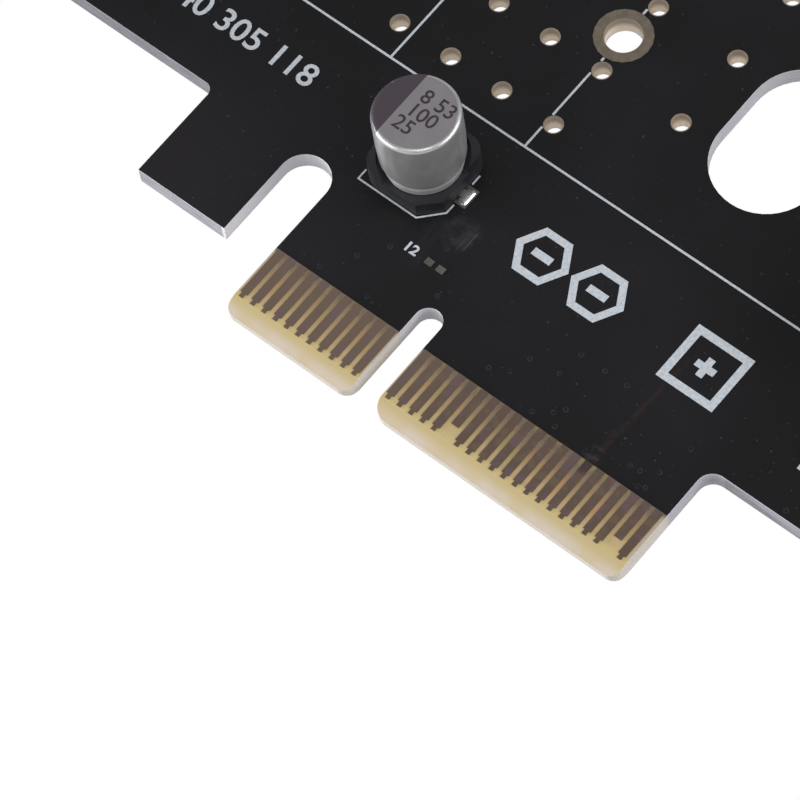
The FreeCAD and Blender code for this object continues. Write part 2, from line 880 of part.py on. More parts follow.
def make_socket_contacts():
    lift = s.copper
    sole = lift + s.contact_thick
    upper_low = mouth_ceiling + s.contact_clearance
    upper_high = upper_low + s.contact_thick
    tip = mouth_x + s.front_wall + s.contact_clearance
    back_near = socket_back + s.contact_clearance
    back_far = back_near + s.contact_thick
    upper = [
        (tip, upper_low - s.contact_clearance * 2), (tip + s.contact_thick * 4, upper_low),
        (back_near, upper_low), (back_near, lift), (back_near + s.contact_foot, lift),
        (back_far, sole), (back_far, upper_high), (tip, upper_high),
    ]
    riser = mouth_x + s.front_wall + s.contact_clearance
    beam = s.mouth_floor - s.contact_clearance
    well_end = mouth_x + s.front_wall + s.well_length - s.contact_clearance
    lower = [
        (mouth_x - s.contact_foot, lift), (riser + s.contact_thick, lift),
        (riser + s.contact_thick, beam - s.contact_thick), (well_end, beam - s.contact_thick),
        (well_end, beam + s.contact_clearance * 2), (well_end - s.contact_thick * 4, beam),
        (riser, beam), (riser, sole),
    ]
    odd = contact_numbers(1)
    even = contact_numbers(0)
    computed("socket_rear_contacts", [strip(upper, contact_y(n), s.contact_width) for n in odd])
    computed("socket_front_contacts", [strip(lower, contact_y(n), s.contact_width) for n in even])

    lands = []
    half = s.contact_land_width / 2
    spare = s.contact_clearance
    for n in odd:
        lands.append(block(back_near - spare, contact_y(n) - half, as_size(0),
                           back_near + s.contact_foot + spare, contact_y(n) + half, s.copper))
    for n in even:
        lands.append(block(mouth_x - s.contact_foot - spare, contact_y(n) - half, as_size(0),
                           mouth_x + spare, contact_y(n) + half, s.copper))
    for side in (-1, 1):
        flank = socket_width / 2 + s.hold_down_reach
        ends = sorted((float(s.module_axis + socket_width / 2 * side),
                       float(s.module_axis + (flank + spare) * side)))
        middle = mouth_x + s.socket_length / 2
        lands.append(block(middle - s.hold_down_width, as_size(ends[0]), as_size(0),
                           middle + s.hold_down_width, as_size(ends[1]), s.copper))
    computed("socket_lands", lands)


def make_hold_downs():
    """Soldered metal tabs at both ends of the socket."""
    tabs = []
    middle = mouth_x + s.socket_length / 2
    thick = s.hold_down_thick
    for side in (-1, 1):
        flank = s.module_axis + socket_width / 2 * side
        wall = sorted((float(flank), float(flank + thick * side)))
        foot = sorted((float(flank), float(flank + s.hold_down_reach * side)))
        x_low = middle - s.hold_down_width / 2
        x_high = middle + s.hold_down_width / 2
        upright = block(x_low, as_size(wall[0]), s.copper,
                        x_high, as_size(wall[1]), s.copper + s.hold_down_rise)
        sole = block(x_low, as_size(foot[0]), s.copper,
                     x_high, as_size(foot[1]), s.copper + thick)
        tabs.append(upright.fuse(sole).removeSplitter())
    computed("socket_hold_downs", tabs)


# ---------------------------------------------------------------------------------------
# Standoff, nut and screw that hold the module's free end
# ---------------------------------------------------------------------------------------

def make_standoff():
    """Round standoff: it stands on the plated ring, its spigot passes through the hole."""
    body = new_body("module_standoff")
    sketch = new_sketch(body, "XZ_Plane")
    spigot = s.mount_hole_radius - s.spigot_clearance
    blind = s.standoff_height - s.thread_depth
    spigot_end = -(s.board_thick + s.copper + s.nut_thick + s.spigot_past)
    polygon(sketch, [
        (0, spigot_end),
        (spigot, spigot_end),
        (spigot, s.copper),
        (s.standoff_radius, s.copper),
        (s.standoff_radius, s.standoff_height),
        (s.thread_radius, s.standoff_height),
        (s.thread_radius, blind),
        (0, blind),
    ])
    revolve(body, sketch)
    place(body, standoff_x, s.module_axis)
    nodes.append(body)


def make_standoff_nut():
    """Hexagon nut under the board, on the standoff's spigot."""
    body = new_body("standoff_nut")
    sketch = new_sketch(body, level=-(s.board_thick + s.copper))
    corner = s.nut_flats / math.sqrt(3)
    points = []
    for i in range(6):
        angle = math.radians(60 * i)
        points.append((corner * round(math.cos(angle), 6), corner * round(math.sin(angle), 6)))
    polygon(sketch, points)
    pad(body, sketch, s.nut_thick, reversed_way=True)
    bore = new_sketch(body)
    circle(bore, 0, 0, s.mount_hole_radius - s.spigot_clearance)
    cut(body, bore)
    place(body, standoff_x, s.module_axis)
    nodes.append(body)


def cross_recess_screw(label, head_radius, head_height, shank_radius, length, recess):
    """Screw standing on Z = 0, its head narrowing upward; recess is span, width, depth."""
    body = new_body(label)
    sketch = new_sketch(body, "XZ_Plane")
    polygon(sketch, [
        (0, -length),
        (shank_radius, -length),
        (shank_radius, 0),
        (head_radius, 0),
        (head_radius * 0.78, head_height),
        (0, head_height),
    ])
    revolve(body, sketch)
    span, width, depth = recess
    for wide, tall in ((span, width), (width, span)):
        slot = new_sketch(body, level=head_height)
        rectangle(slot, -wide / 2, -tall / 2, wide / 2, tall / 2)
        cut(body, slot, depth)
    return body


def make_screws():
    recess = (s.recess_span, s.recess_width, s.recess_depth)
    module_screw = cross_recess_screw("module_screw", s.screw_head_radius, s.screw_head_height,
                                      s.thread_radius, s.screw_length, recess)
    place(module_screw, standoff_x, s.module_axis, s.standoff_height)
    nodes.append(module_screw)

    shank = s.bracket_thread_radius - s.bracket_screw_clearance
    length = s.board_thick + s.sheet_thick + s.bracket_screw_past
    pattern = cross_recess_screw("bracket_screw_pattern", s.bracket_head_radius,
                                 s.bracket_head_height, shank, length, recess)
    screws = []
    for y in ear_rows:
        screw = pattern.Shape.copy()
        screw.translate(Vector(float(ear_hole_x), float(y), 0))
        screws.append(screw)
    computed("bracket_screws", screws)


# ---------------------------------------------------------------------------------------
# Mounting bracket
# ---------------------------------------------------------------------------------------

def make_bracket():
    """Folded sheet: plate with a tapered tongue, screw lip at its head and two ears."""
    body = new_body("mounting_bracket")
    lip_end = bracket_outer - s.lip_depth
    fold = new_sketch(body, level=bracket_low)
    polygon(fold, [
        (bracket_inner, -s.bracket_foot),
        (bracket_inner, s.bracket_head),
        (lip_end, s.bracket_head),
        (lip_end, s.bracket_head - s.sheet_thick),
        (bracket_outer, s.bracket_head - s.sheet_thick),
        (bracket_outer, -s.bracket_foot),
    ])
    pad(body, fold, s.bracket_width)
    shape = body.Shape
    fillet(body, upright_edges(shape, bracket_inner, s.bracket_head),
           s.bend_radius + s.sheet_thick)
    fillet(body, upright_edges(body.Shape, bracket_outer, s.bracket_head - s.sheet_thick),
           s.bend_radius)

    # The foot narrows to a tongue that drops into the chassis slot.
    shoulder = (s.bracket_width - s.tongue_width) / 2
    narrow = s.tongue_length - s.bracket_foot
    wide = narrow + s.tongue_taper
    bracket_high = bracket_low + s.bracket_width
    tongue = new_sketch(body, "YZ_Plane")
    polygon(tongue, [(-s.bracket_foot, bracket_low), (wide, bracket_low),
                     (narrow, bracket_low + shoulder), (-s.bracket_foot, bracket_low + shoulder)])
    polygon(tongue, [(-s.bracket_foot, bracket_high), (wide, bracket_high),
                     (narrow, bracket_high - shoulder), (-s.bracket_foot, bracket_high - shoulder)])
    cut(body, tongue)

    # Open notch in the lip for the chassis screw.
    notch = new_sketch(body, "XZ_Plane")
    notch_x = bracket_outer - s.lip_notch_reach
    rectangle(notch, notch_x - s.lip_notch_radius, bracket_low,
              notch_x + s.lip_notch_radius, bracket_low + s.lip_notch_inset)
    cut(body, notch)
    notch_end = new_sketch(body, "XZ_Plane")
    circle(notch_end, notch_x, bracket_low + s.lip_notch_inset, s.lip_notch_radius)
    cut(body, notch_end)

    # Each ear is folded back from the long edge, between two relief cuts.
    ear_low = -(s.board_thick + s.sheet_thick)
    reliefs = new_sketch(body, "YZ_Plane")
    for y in ear_rows:
        half = s.ear_width / 2 + s.ear_relief
        rectangle(reliefs, y - half, bracket_low, y + half, ear_low)
    cut(body, reliefs)
    ears = new_sketch(body, level=ear_low)
    for y in ear_rows:
        rectangle(ears, bracket_outer, y - s.ear_width / 2,
                  bracket_inner + s.ear_length, y + s.ear_width / 2)
    pad(body, ears, s.sheet_thick)
    shape = body.Shape
    fillet(body, edges_where(shape, lambda p: near(p.x, bracket_outer) and near(p.z, ear_low)),
           s.bend_radius)
    threads = new_sketch(body)
    for y in ear_rows:
        circle(threads, ear_hole_x, y, s.bracket_thread_radius)
    cut(body, threads)
    nodes.append(body)


# ---------------------------------------------------------------------------------------
# Decoupling capacitors beside the socket
# ---------------------------------------------------------------------------------------

def make_chips():
    bodies = []
    caps = []
    lands = []
    half_length = s.chip_length / 2
    half_width = s.chip_width / 2
    skin = s.chip_cap_thick
    for i in range(CHIPS):
        x = chip_first_x + s.chip_pitch * i
        y = s.chip_up
        low = s.copper + skin
        bodies.append(block(x - half_width, y - half_length, low,
                            x + half_width, y + half_length, low + s.chip_height))
        for side in (-1, 1):
            ends = sorted((float(y + (half_length - s.chip_cap) * side),
                           float(y + (half_length + skin) * side)))
            shell = block(x - half_width - skin, as_size(ends[0]), s.copper,
                          x + half_width + skin, as_size(ends[1]), low + s.chip_height + skin)
            caps.append(shell.cut(bodies[-1]))
            ends = sorted((float(y + (half_length - s.chip_cap - skin) * side),
                           float(y + (half_length + s.chip_land_extra) * side)))
            lands.append(block(x - half_width - skin, as_size(ends[0]), as_size(0),
                               x + half_width + skin, as_size(ends[1]), s.copper))
    computed("chip_capacitor_bodies", bodies)
    computed("chip_capacitor_terminals", caps)
    computed("chip_capacitor_lands", lands)


# ---------------------------------------------------------------------------------------
# Build, check and write
# ---------------------------------------------------------------------------------------

def check_document():
    doc.recompute()
    for thing in doc.Objects:
        if "Invalid" in thing.State or "Error" in thing.State:
            raise RuntimeError(f"{thing.Name} did not recompute: {thing.State}")
    for node in nodes:
        if node.Shape.isNull() or not node.Shape.isValid():
            raise RuntimeError(f"{node.Label} has no valid shape")


def write_parts():
    for node in nodes:
        node.Shape.exportStep(f"parts/{node.Label}.step")
        box = node.Shape.BoundBox
        print(f"{node.Label:26s} solids {len(node.Shape.Solids):3d}"
              f"  X {box.XMin:7.2f} {box.XMax:7.2f}"
              f"  Y {box.YMin:7.2f} {box.YMax:7.2f}  Z {box.ZMin:6.2f} {box.ZMax:6.2f}")


make_circuit_board()
make_fingers()
make_hole_rings()
make_capacitor_can()
make_capacitor_base()
make_capacitor_parts()
make_resistor_lands()
make_socket_housing()
make_socket_contacts()
make_hold_downs()
make_standoff()
make_standoff_nut()
make_screws()
make_bracket()
make_chips()
check_document()
write_parts()
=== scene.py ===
import math

import bmesh
import bpy
from mathutils import Matrix, Vector


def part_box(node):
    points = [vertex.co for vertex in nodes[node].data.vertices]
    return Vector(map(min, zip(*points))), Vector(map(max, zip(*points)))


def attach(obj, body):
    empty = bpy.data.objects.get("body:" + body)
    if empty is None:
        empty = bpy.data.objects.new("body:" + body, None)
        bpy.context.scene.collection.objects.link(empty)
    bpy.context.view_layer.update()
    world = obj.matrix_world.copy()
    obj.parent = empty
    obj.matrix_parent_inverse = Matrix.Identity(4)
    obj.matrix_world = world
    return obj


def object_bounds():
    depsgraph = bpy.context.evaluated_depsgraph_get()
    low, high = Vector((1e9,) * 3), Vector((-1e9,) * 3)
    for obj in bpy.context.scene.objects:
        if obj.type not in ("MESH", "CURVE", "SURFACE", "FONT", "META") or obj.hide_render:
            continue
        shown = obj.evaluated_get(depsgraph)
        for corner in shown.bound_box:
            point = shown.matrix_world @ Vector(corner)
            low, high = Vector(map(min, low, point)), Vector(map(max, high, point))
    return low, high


MM = 0.001

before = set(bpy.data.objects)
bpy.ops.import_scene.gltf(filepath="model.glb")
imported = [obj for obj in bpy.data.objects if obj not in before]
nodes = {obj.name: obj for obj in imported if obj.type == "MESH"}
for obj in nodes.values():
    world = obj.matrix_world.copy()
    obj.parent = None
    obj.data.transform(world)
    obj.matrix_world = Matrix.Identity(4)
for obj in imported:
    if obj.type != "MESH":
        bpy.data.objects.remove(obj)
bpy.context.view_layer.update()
scene = bpy.context.scene


# ---------------------------------------------------------------------------
# Camera, light and stage, in metres and watts where no unit is named
# ---------------------------------------------------------------------------

SENSOR_WIDTH_MM = 36.0
LENS_MM = 267.71
CAMERA_PLACE_MM = (144.183, -121.071, 355.041)
CAMERA_RIGHT = (0.76931675, 0.63269121, -0.08862036)
CAMERA_UP = (-0.53226158, 0.71146608, 0.45881764)
CAMERA_BACK = (0.35334027, -0.30580688, 0.88410000)
CLIP_NEAR = 0.01
CLIP_FAR = 10.0

WHITE = (1.0, 1.0, 1.0, 1.0)
FLOOR_COLOUR = (0.8, 0.8, 0.8, 1.0)
FLOOR_SIZE = 6.0
FLOOR_GAP = 0.0002
WORLD_STRENGTH = 0.4
SEEN_STRENGTH = 1.0

LAMP_AIM = (0.0, 0.02, 0.0)
LAMPS = (  # name, width and height, power, place
    ("overhead_lamp", (0.35, 0.35), 1.3, (0.3, -0.3, 0.75)),
    ("front_lamp", (0.34, 0.25), 1.2, (-0.24, -0.46, 0.2)),
    ("right_lamp", (0.55, 0.3), 2.8, (0.52, 0.28, 0.3)),
    ("left_lamp", (0.2, 0.12), 3.5, (-0.5, -0.3, 0.07)),
)


def set_camera():
    data = bpy.data.cameras.new("camera")
    data.sensor_width = SENSOR_WIDTH_MM
    data.lens = LENS_MM
    data.clip_start = CLIP_NEAR
    data.clip_end = CLIP_FAR
    camera = bpy.data.objects.new("camera", data)
    scene.collection.objects.link(camera)
    turn = Matrix((CAMERA_RIGHT, CAMERA_UP, CAMERA_BACK)).transposed()
    place = Matrix.Translation(Vector(CAMERA_PLACE_MM) * MM)
    camera.matrix_world = place @ turn.to_4x4()
    scene.camera = camera


def add_lamp(name, size, power, place):
    data = bpy.data.lights.new(name, "AREA")
    data.shape = "RECTANGLE"
    data.size, data.size_y = size
    data.energy = power
    lamp = bpy.data.objects.new(name, data)
    scene.collection.objects.link(lamp)
    lamp.location = place
    beam = Vector(LAMP_AIM) - Vector(place)
    lamp.rotation_euler = beam.to_track_quat("-Z", "Y").to_euler()


def floor_finish():
    """Diffuse under the lamps, plain white to the camera, to gloss and through glass."""
    material = bpy.data.materials.new("floor_white")
    material.use_nodes = True
    tree = material.node_tree
    tree.nodes.clear()
    out = tree.nodes.new("ShaderNodeOutputMaterial")
    mix = tree.nodes.new("ShaderNodeMixShader")
    diffuse = tree.nodes.new("ShaderNodeBsdfDiffuse")
    diffuse.inputs["Color"].default_value = FLOOR_COLOUR
    glow = tree.nodes.new("ShaderNodeEmission")
    glow.inputs["Color"].default_value = WHITE
    glow.inputs["Strength"].default_value = SEEN_STRENGTH
    path = tree.nodes.new("ShaderNodeLightPath")
    seen = path.outputs["Is Camera Ray"]
    for ray in ("Is Glossy Ray", "Is Transmission Ray"):
        either = tree.nodes.new("ShaderNodeMath")
        either.operation = "MAXIMUM"
        tree.links.new(seen, either.inputs[0])
        tree.links.new(path.outputs[ray], either.inputs[1])
        seen = either.outputs[0]
    tree.links.new(seen, mix.inputs[0])
    tree.links.new(diffuse.outputs[0], mix.inputs[1])
    tree.links.new(glow.outputs[0], mix.inputs[2])
    tree.links.new(mix.outputs[0], out.inputs["Surface"])
    return material


def make_floor():
    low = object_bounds()[0]
    bpy.ops.object.select_all(action="DESELECT")
    bpy.ops.mesh.primitive_plane_add(size=FLOOR_SIZE, location=(0.0, 0.0, low[2] - FLOOR_GAP))
    floor = bpy.context.object
    floor.name = "floor"
    floor.data.transform(floor.matrix_world)
    floor.matrix_world = Matrix.Identity(4)
    floor.data.materials.append(floor_finish())


def make_world():
    """Soft even light, which the camera sees as plain white."""
    world = bpy.data.worlds.new("studio")
    scene.world = world
    world.use_nodes = True
    tree = world.node_tree
    tree.nodes.clear()
    out = tree.nodes.new("ShaderNodeOutputWorld")
    mix = tree.nodes.new("ShaderNodeMixShader")
    path = tree.nodes.new("ShaderNodeLightPath")
    tree.links.new(path.outputs["Is Camera Ray"], mix.inputs[0])
    for socket, strength in ((mix.inputs[1], WORLD_STRENGTH), (mix.inputs[2], SEEN_STRENGTH)):
        background = tree.nodes.new("ShaderNodeBackground")
        background.inputs["Color"].default_value = WHITE
        background.inputs["Strength"].default_value = strength
        tree.links.new(background.outputs[0], socket)
    tree.links.new(mix.outputs[0], out.inputs["Surface"])


# ---------------------------------------------------------------------------
# Places and sizes on the card, in millimetres
# ---------------------------------------------------------------------------

MASK_END = 5.73            # the solder mask stops here, above the contacts

MODULE_LOW = 22.09
MODULE_HIGH = 44.09
MODULE_AXIS = 33.09
OPEN_RINGS = (-3.31, -15.31, -33.31)
RING_REACH = 2.13
RING_WALL_INSIDE = 1.385
RING_WALL_OUTSIDE = 1.42
RING_COPPER = 0.05
RING_SIDES = 56

VENT_BORE = 0.71
VENT_ROWS = (24.64, 30.0, 36.33, 42.5)
VENT_COLUMNS = tuple(-2.78 - 4.59 * column for column in range(11))
SIDE_VENTS = tuple((4.2, row) for row in VENT_ROWS[1:])
VENT_WALL_INWARDS = 0.055
VENT_WALL_OUTWARDS = 0.02
VENT_WALL_PROUD = 0.008
VENT_SIDES = 28

CAN_PLACE = (-7.63, 16.61)

PRINT_RAISE = 0.018
MITRE_LIMIT = 0.3          # the least cosine that a corner's reach is worked out with
WELD_DISTANCE = 0.000001   # in metres
OUTLINE_WIDTH = 0.17
OUTLINE_ENDS = (-55.0, 20.9)
OUTLINE_RING_GAP = 0.06
OUTLINE_VENT_GAP = 0.08
CAPACITOR_LINE_WIDTH = 0.13
CAPACITOR_LINES = (
    ((-10.95, 14.17), (-10.95, 13.30), (-5.77, 13.28), (-4.33, 14.80), (-4.31, 15.62)),
    ((-4.31, 17.61), (-4.31, 18.46)),
    ((-6.0, 19.94), (-10.95, 19.94), (-10.95, 19.05)),
)
CHIP_LINE_WIDTH = 0.2
CHIP_FRAME = ((26.92, 13.80), (36.3, 18.2))

HEXAGON_PLACES = ((3.1, 16.1), (7.9, 16.1))
HEXAGON_REACH = 1.95
HEXAGON_WIDTH = 0.55
HEXAGON_BAR_HALF = 0.8
HEXAGON_BAR_WIDTH = 0.6
SQUARE_PLACE = (17.3, 16.0)
SQUARE_HALF = 2.1
SQUARE_WIDTH = 0.6
CROSS_HALF = 0.8
CROSS_WIDTH = 0.55

DIGIT_SHARE = 0.73   # a digit's height as a share of the type's size
DIGIT_CURVE_STEPS = 4
NUMBER_WEIGHT = 0.03
LONG_NUMBER = {"text": "40 305 118", "x": -18.4, "y": 17.45, "height": 1.87,
               "align": "RIGHT", "squeeze": 1.05}
SHORT_NUMBER = {"text": "12", "x": -4.5, "y": 11.2, "height": 0.78, "squeeze": 1.1}
CAN_ROWS = (("8 53", 0.9, 1.32), ("100", 0.55, 0.0), ("25", -0.05, -1.3))
CAN_NUMBER_HEIGHT = 1.16
CAN_NUMBER_WEIGHT = 0.012
CAN_NUMBER_RAISE = 0.01

VIA_PLACES = (
    (17.85, 7.18), (18.59, 7.28), (19.71, 7.95), (19.64, 6.51), (19.17, 6.29),
    (12.02, 11.78), (13.91, 11.79), (9.71, 9.77), (9.98, 6.42), (11.22, 7.23),
    (11.72, 7.88), (11.94, 6.43), (5.53, 7.25), (6.85, 7.86), (9.97, 11.78),
    (7.36, 9.46), (-10.24, 6.4), (-8.68, 6.42), (-7.14, 8.56), (-5.76, 10.45),
    (-2.54, 12.63), (-4.54, 6.57), (-0.71, 9.44), (20.3, 10.6), (28.2, 10.76),
)
VIA_INSIDE = 0.1
VIA_OUTSIDE = 0.22
VIA_LOW = -0.004
VIA_HEIGHT = 0.012
VIA_SIDES = 16

SOLDER_OFFSET = 3.62
SOLDER_SIZE = (0.92, 1.5, 0.2)
SOLDER_MIDDLE = 0.13
SOLDER_TOP_SHARE = (0.6, 0.55)
SOLDER_CUTS = 2
SOLDER_ROUNDING = 2


# ---------------------------------------------------------------------------
# Materials
# ---------------------------------------------------------------------------

class Finish:
    """A node material that is built up step by step, on places in millimetres."""

    def __init__(self, name):
        self.material = bpy.data.materials.new(name)
        self.material.use_nodes = True
        self.tree = self.material.node_tree
        self.tree.nodes.clear()
        self.out = self.tree.nodes.new("ShaderNodeOutputMaterial")
        self.shader = self.tree.nodes.new("ShaderNodeBsdfPrincipled")
        self.tree.links.new(self.shader.outputs[0], self.out.inputs["Surface"])
        self.coordinates = self.tree.nodes.new("ShaderNodeTexCoord")

    def plug(self, socket, value):
        if hasattr(value, "node"):
            self.tree.links.new(value, socket)
        elif isinstance(value, tuple):
            socket.default_value = (*value, 1.0) if len(value) == 3 else value
        else:
            socket.default_value = value

    def set(self, **values):
        """Values for the shader's sockets by name, with _ for each space."""
        for name, value in values.items():
            self.plug(self.shader.inputs[name.replace("_", " ")], value)

    def part_of(self, output, letter):
        split = self.tree.nodes.new("ShaderNodeSeparateXYZ")
        self.tree.links.new(self.coordinates.outputs[output], split.inputs[0])
        return split.outputs["XYZ".index(letter)]

    def axis(self, letter):
        """One object coordinate, in millimetres."""
        return self.math("MULTIPLY", self.part_of("Object", letter), 1.0 / MM)

    def facing(self, letter):
        """How far the surface faces along an axis, from -1 to 1."""
        return self.part_of("Normal", letter)

    def math(self, kind, first, second=0.0):
        node = self.tree.nodes.new("ShaderNodeMath")
        node.operation = kind
        self.plug(node.inputs[0], first)
        self.plug(node.inputs[1], second)
        return node.outputs[0]

    def size_of(self, value):
        return self.math("ABSOLUTE", value)

    def times(self, *factors):
        value = factors[0]
        for factor in factors[1:]:
            value = self.math("MULTIPLY", value, factor)
        return value

    def most(self, *values):
        """The highest of the values."""
        value = values[0]
        for other in values[1:]:
            value = self.math("MAXIMUM", value, other)
        return value

    def over(self, value, start, end):
        """0 below start, 1 above end, smooth between them; falls if end is below start."""
        node = self.tree.nodes.new("ShaderNodeMapRange")
        node.interpolation_type = "SMOOTHSTEP"
        self.plug(node.inputs["Value"], value)
        node.inputs["From Min"].default_value = min(start, end)
        node.inputs["From Max"].default_value = max(start, end)
        node.inputs["To Min"].default_value = 0.0 if start < end else 1.0
        node.inputs["To Max"].default_value = 1.0 if start < end else 0.0
        return node.outputs["Result"]

    def between(self, value, low, high, soft):
        """1 from low to high, 0 outside them, with soft ends."""
        rise = self.over(value, low - soft, low + soft)
        fall = self.over(value, high + soft, high - soft)
        return self.math("MULTIPLY", rise, fall)

    def noise(self, scale, detail=3.0, roughness=0.55, stretch=(1.0, 1.0, 1.0)):
        """Noise with `scale` features to the metre; `over` then sets its contrast."""
        mapping = self.tree.nodes.new("ShaderNodeMapping")
        mapping.inputs["Scale"].default_value = stretch
        self.tree.links.new(self.coordinates.outputs["Object"], mapping.inputs["Vector"])
        node = self.tree.nodes.new("ShaderNodeTexNoise")
        node.inputs["Scale"].default_value = scale
        node.inputs["Detail"].default_value = detail
        node.inputs["Roughness"].default_value = roughness
        self.tree.links.new(mapping.outputs[0], node.inputs["Vector"])
        return node.outputs["Fac"]

    def mix(self, factor, first, second):
        node = self.tree.nodes.new("ShaderNodeMix")
        node.data_type = "RGBA"
        self.plug(node.inputs["Factor"], factor)
        self.plug(node.inputs[6], first)
        self.plug(node.inputs[7], second)
        return node.outputs[2]

    def lay(self, under, colour, *factors, strength=1.0):
        """A colour laid over another where all its factors are high."""
        if strength < 1.0:
            factors += (strength,)
        return self.mix(self.times(*factors), under, colour)

    def mottle(self, noise, tones, contrast=(0.35, 0.65)):
        """Two tones in patches of a noise, which the contrast makes soft or sharp."""
        return self.mix(self.over(noise, *contrast), *tones)

    def bump(self, height, distance, strength):
        """Relief of a height in millimetres."""
        node = self.tree.nodes.new("ShaderNodeBump")
        node.inputs["Strength"].default_value = strength
        node.inputs["Distance"].default_value = distance * MM
        self.plug(node.inputs["Height"], height)
        self.tree.links.new(node.outputs[0], self.shader.inputs["Normal"])


def tone(red, green, blue):
    """A colour given as it looks, 0 to 255, as the shader wants it."""
    values = []
    for part in (red, green, blue):
        part = part / 255.0
        values.append(part / 12.92 if part <= 0.04045 else ((part + 0.055) / 1.055) ** 2.4)
    return tuple(values)


# Where a tone lies is a pair, which fades in from its first value to its second, or three
# numbers: a low end, a high end and how soft both are. A spot is its x, its y and its reach.
# Across is measured along X, along is measured along Y, and a facing runs from -1 to 1.

FACES_UP = (0.5, 0.9)
STANDS_UPRIGHT = (0.25, 0.1)
SPOT_RAGGEDNESS = 0.7
SPOT_EDGE = (1.45, 0.75)

# Solder mask: its tones, a painted sheen over the tab, painted shade towards the right, and where
# its marks of handling lie

MASK_TONES = tone(21, 21, 23), tone(27, 26, 30)
MASK_TAB_SHEEN = tone(36, 33, 37)
MASK_RIGHT_SHADE = tone(18, 17, 19)
MASK_WIPED = tone(70, 70, 76)
MASK_SPECKS = tone(72, 74, 80)
MASK_STREAK = tone(43, 30, 31)
MASK_SCRAPED = tone(84, 78, 80)
MASK_HAZE = tone(60, 60, 66)
MASK_SCRATCH = tone(96, 96, 100)
TAB_SHEEN_ACROSS, TAB_SHEEN_ALONG = (-14.0, -20.0), (16.0, 9.0)
RIGHT_SHADE_ACROSS = (14.0, 24.0)
WIPED_ACROSS, WIPED_ALONG = (-4.5, 1.0, 1.2), (10.5, 16.0, 1.5)
SCRATCHES = (
    ((-1.6, -1.52, 0.03), (13.3, 14.9, 0.2)),
    ((-2.0, -1.95, 0.03), (12.9, 14.1, 0.2)),
)
SCRAPE = (15.5, 6.35, 0.95)
HAZE = (-2.5, 14.2, 1.5)
STREAK_MIDDLE = 15.52
STREAK_WOBBLE = 0.6
STREAK_BENDS = (((8.2, 10.0), 0.24), ((10.0, 13.0), 0.2))
STREAK_SIDE = (0.36, 0.08)
STREAK_ALONG = (5.6, 15.8, 0.5)

# Bare laminate round the contacts, from the card's lower edge up to the mask

LAMINATE_LOW = tone(186, 164, 121)
LAMINATE_STEPS = (
    ((2.0, 3.2), tone(167, 145, 107)),
    ((3.2, 4.3), tone(150, 128, 99)),
    ((4.3, 5.5), tone(118, 104, 88)),
)
LAMINATE_SHADED = tone(112, 98, 84)
LAMINATE_AMBER = tone(184, 134, 92)
LAMINATE_GREEN = tone(150, 146, 92)
LAMINATE_EDGE_HIGHLIGHT = tone(176, 160, 140)
LAMINATE_BESIDE = tone(190, 177, 158)
LAMINATE_BARE = tone(192, 173, 125)
BEVEL_TONE = tone(179, 162, 118)
BEVEL_FOOT_TONES = tone(188, 173, 145), tone(192, 179, 164)
SHADED_FROM, SHADED_TO, SHADED_ALONG = (5.0, 10.0), (17.5, 15.0), (2.6, 4.6)
AMBER_ALONG = (5.0, 3.6)
HIGHLIGHT_FROM_GAP, HIGHLIGHT_ALONG = (0.11, 0.17), (3.4, 4.8)
FIRST_CONTACT_SIDE = (-11.78, -11.86)
KEY_SIDES = (-1.17, 1.17, 0.04)
LAST_CONTACT_SIDE = (21.78, 21.92)
BESIDE_ALONG = (5.7, 5.3)
BELOW_CONTACTS = (1.95, 1.45)
BEVEL_START = (1.27, 1.2)
BEVEL_FOOT = (1.15, 0.2)
CONTACT_PITCH = 1.0

# Cut edges of the laminate: a painted highlight along the upper lip, and painted light on the walls
# inside the narrow cuts, where shade falls

CUT_TONES = tone(134, 131, 139), tone(160, 158, 166)
CUT_LIP_HIGHLIGHT = tone(190, 189, 196)
CUT_LOWER_LIP = tone(140, 134, 138)
CUT_INSIDE_PAINTED_LIGHT = tone(228, 226, 232)
CUT_BY_CONTACTS = tone(198, 191, 178)
LIP_HIGHLIGHT_HEIGHT = (-0.22, -0.04)
LOWER_LIP = (-1.38, -1.55)
KEY_ACROSS, KEY_ALONG = (1.7, 1.3), (9.6, 9.0)
OBLONG_ACROSS, OBLONG_ALONG = (5.0, 17.0, 0.5), (20.0, 22.0)
RELIEF_ACROSS = (-16.15, -12.15, 0.08)
RIGHT_STEP_ACROSS = (21.8, 23.4, 0.2)
SHORT_OF_FAR_EDGE = (45.0, 44.0)
CONTACTS_ACROSS = (-12.6, 22.6, 0.05)
CONTACT_WALLS_ACROSS = (-12.9, -12.6)
MASK_EDGE_SOFT = 0.012
CONTACT_WALLS_SOFT = 0.4


def spot_factor(f, x, y, reach):
    """A ragged round spot."""
    dx = f.math("SUBTRACT", f.axis("X"), x)
    dy = f.math("SUBTRACT", f.axis("Y"), y)
    distance = f.math("SQRT", f.math("ADD", f.times(dx, dx), f.times(dy, dy)))
    grain = f.noise(2200.0, detail=2.0)
    ragged = f.math("ADD", distance, f.times(grain, reach * SPOT_RAGGEDNESS))
    return f.over(ragged, reach * SPOT_EDGE[0], reach * SPOT_EDGE[1])


def streak_factor(f):
    """The thin dark reddish streak across the mask above the second contact group."""
    y = f.axis("Y")
    middle = STREAK_MIDDLE
    for bend, shift in STREAK_BENDS:
        middle = f.math("ADD", middle, f.times(f.over(y, *bend), shift))
    wobble = f.times(f.math("SUBTRACT", f.noise(520.0, detail=2.0), 0.5), STREAK_WOBBLE)
    middle = f.math("ADD", middle, wobble)
    distance = f.size_of(f.math("SUBTRACT", f.axis("X"), middle))
    patches = f.over(f.noise(1100.0, detail=4.0), 0.36, 0.56)
    return f.times(f.over(distance, *STREAK_SIDE), f.between(y, *STREAK_ALONG), patches,
                   f.over(f.facing("Z"), *FACES_UP))


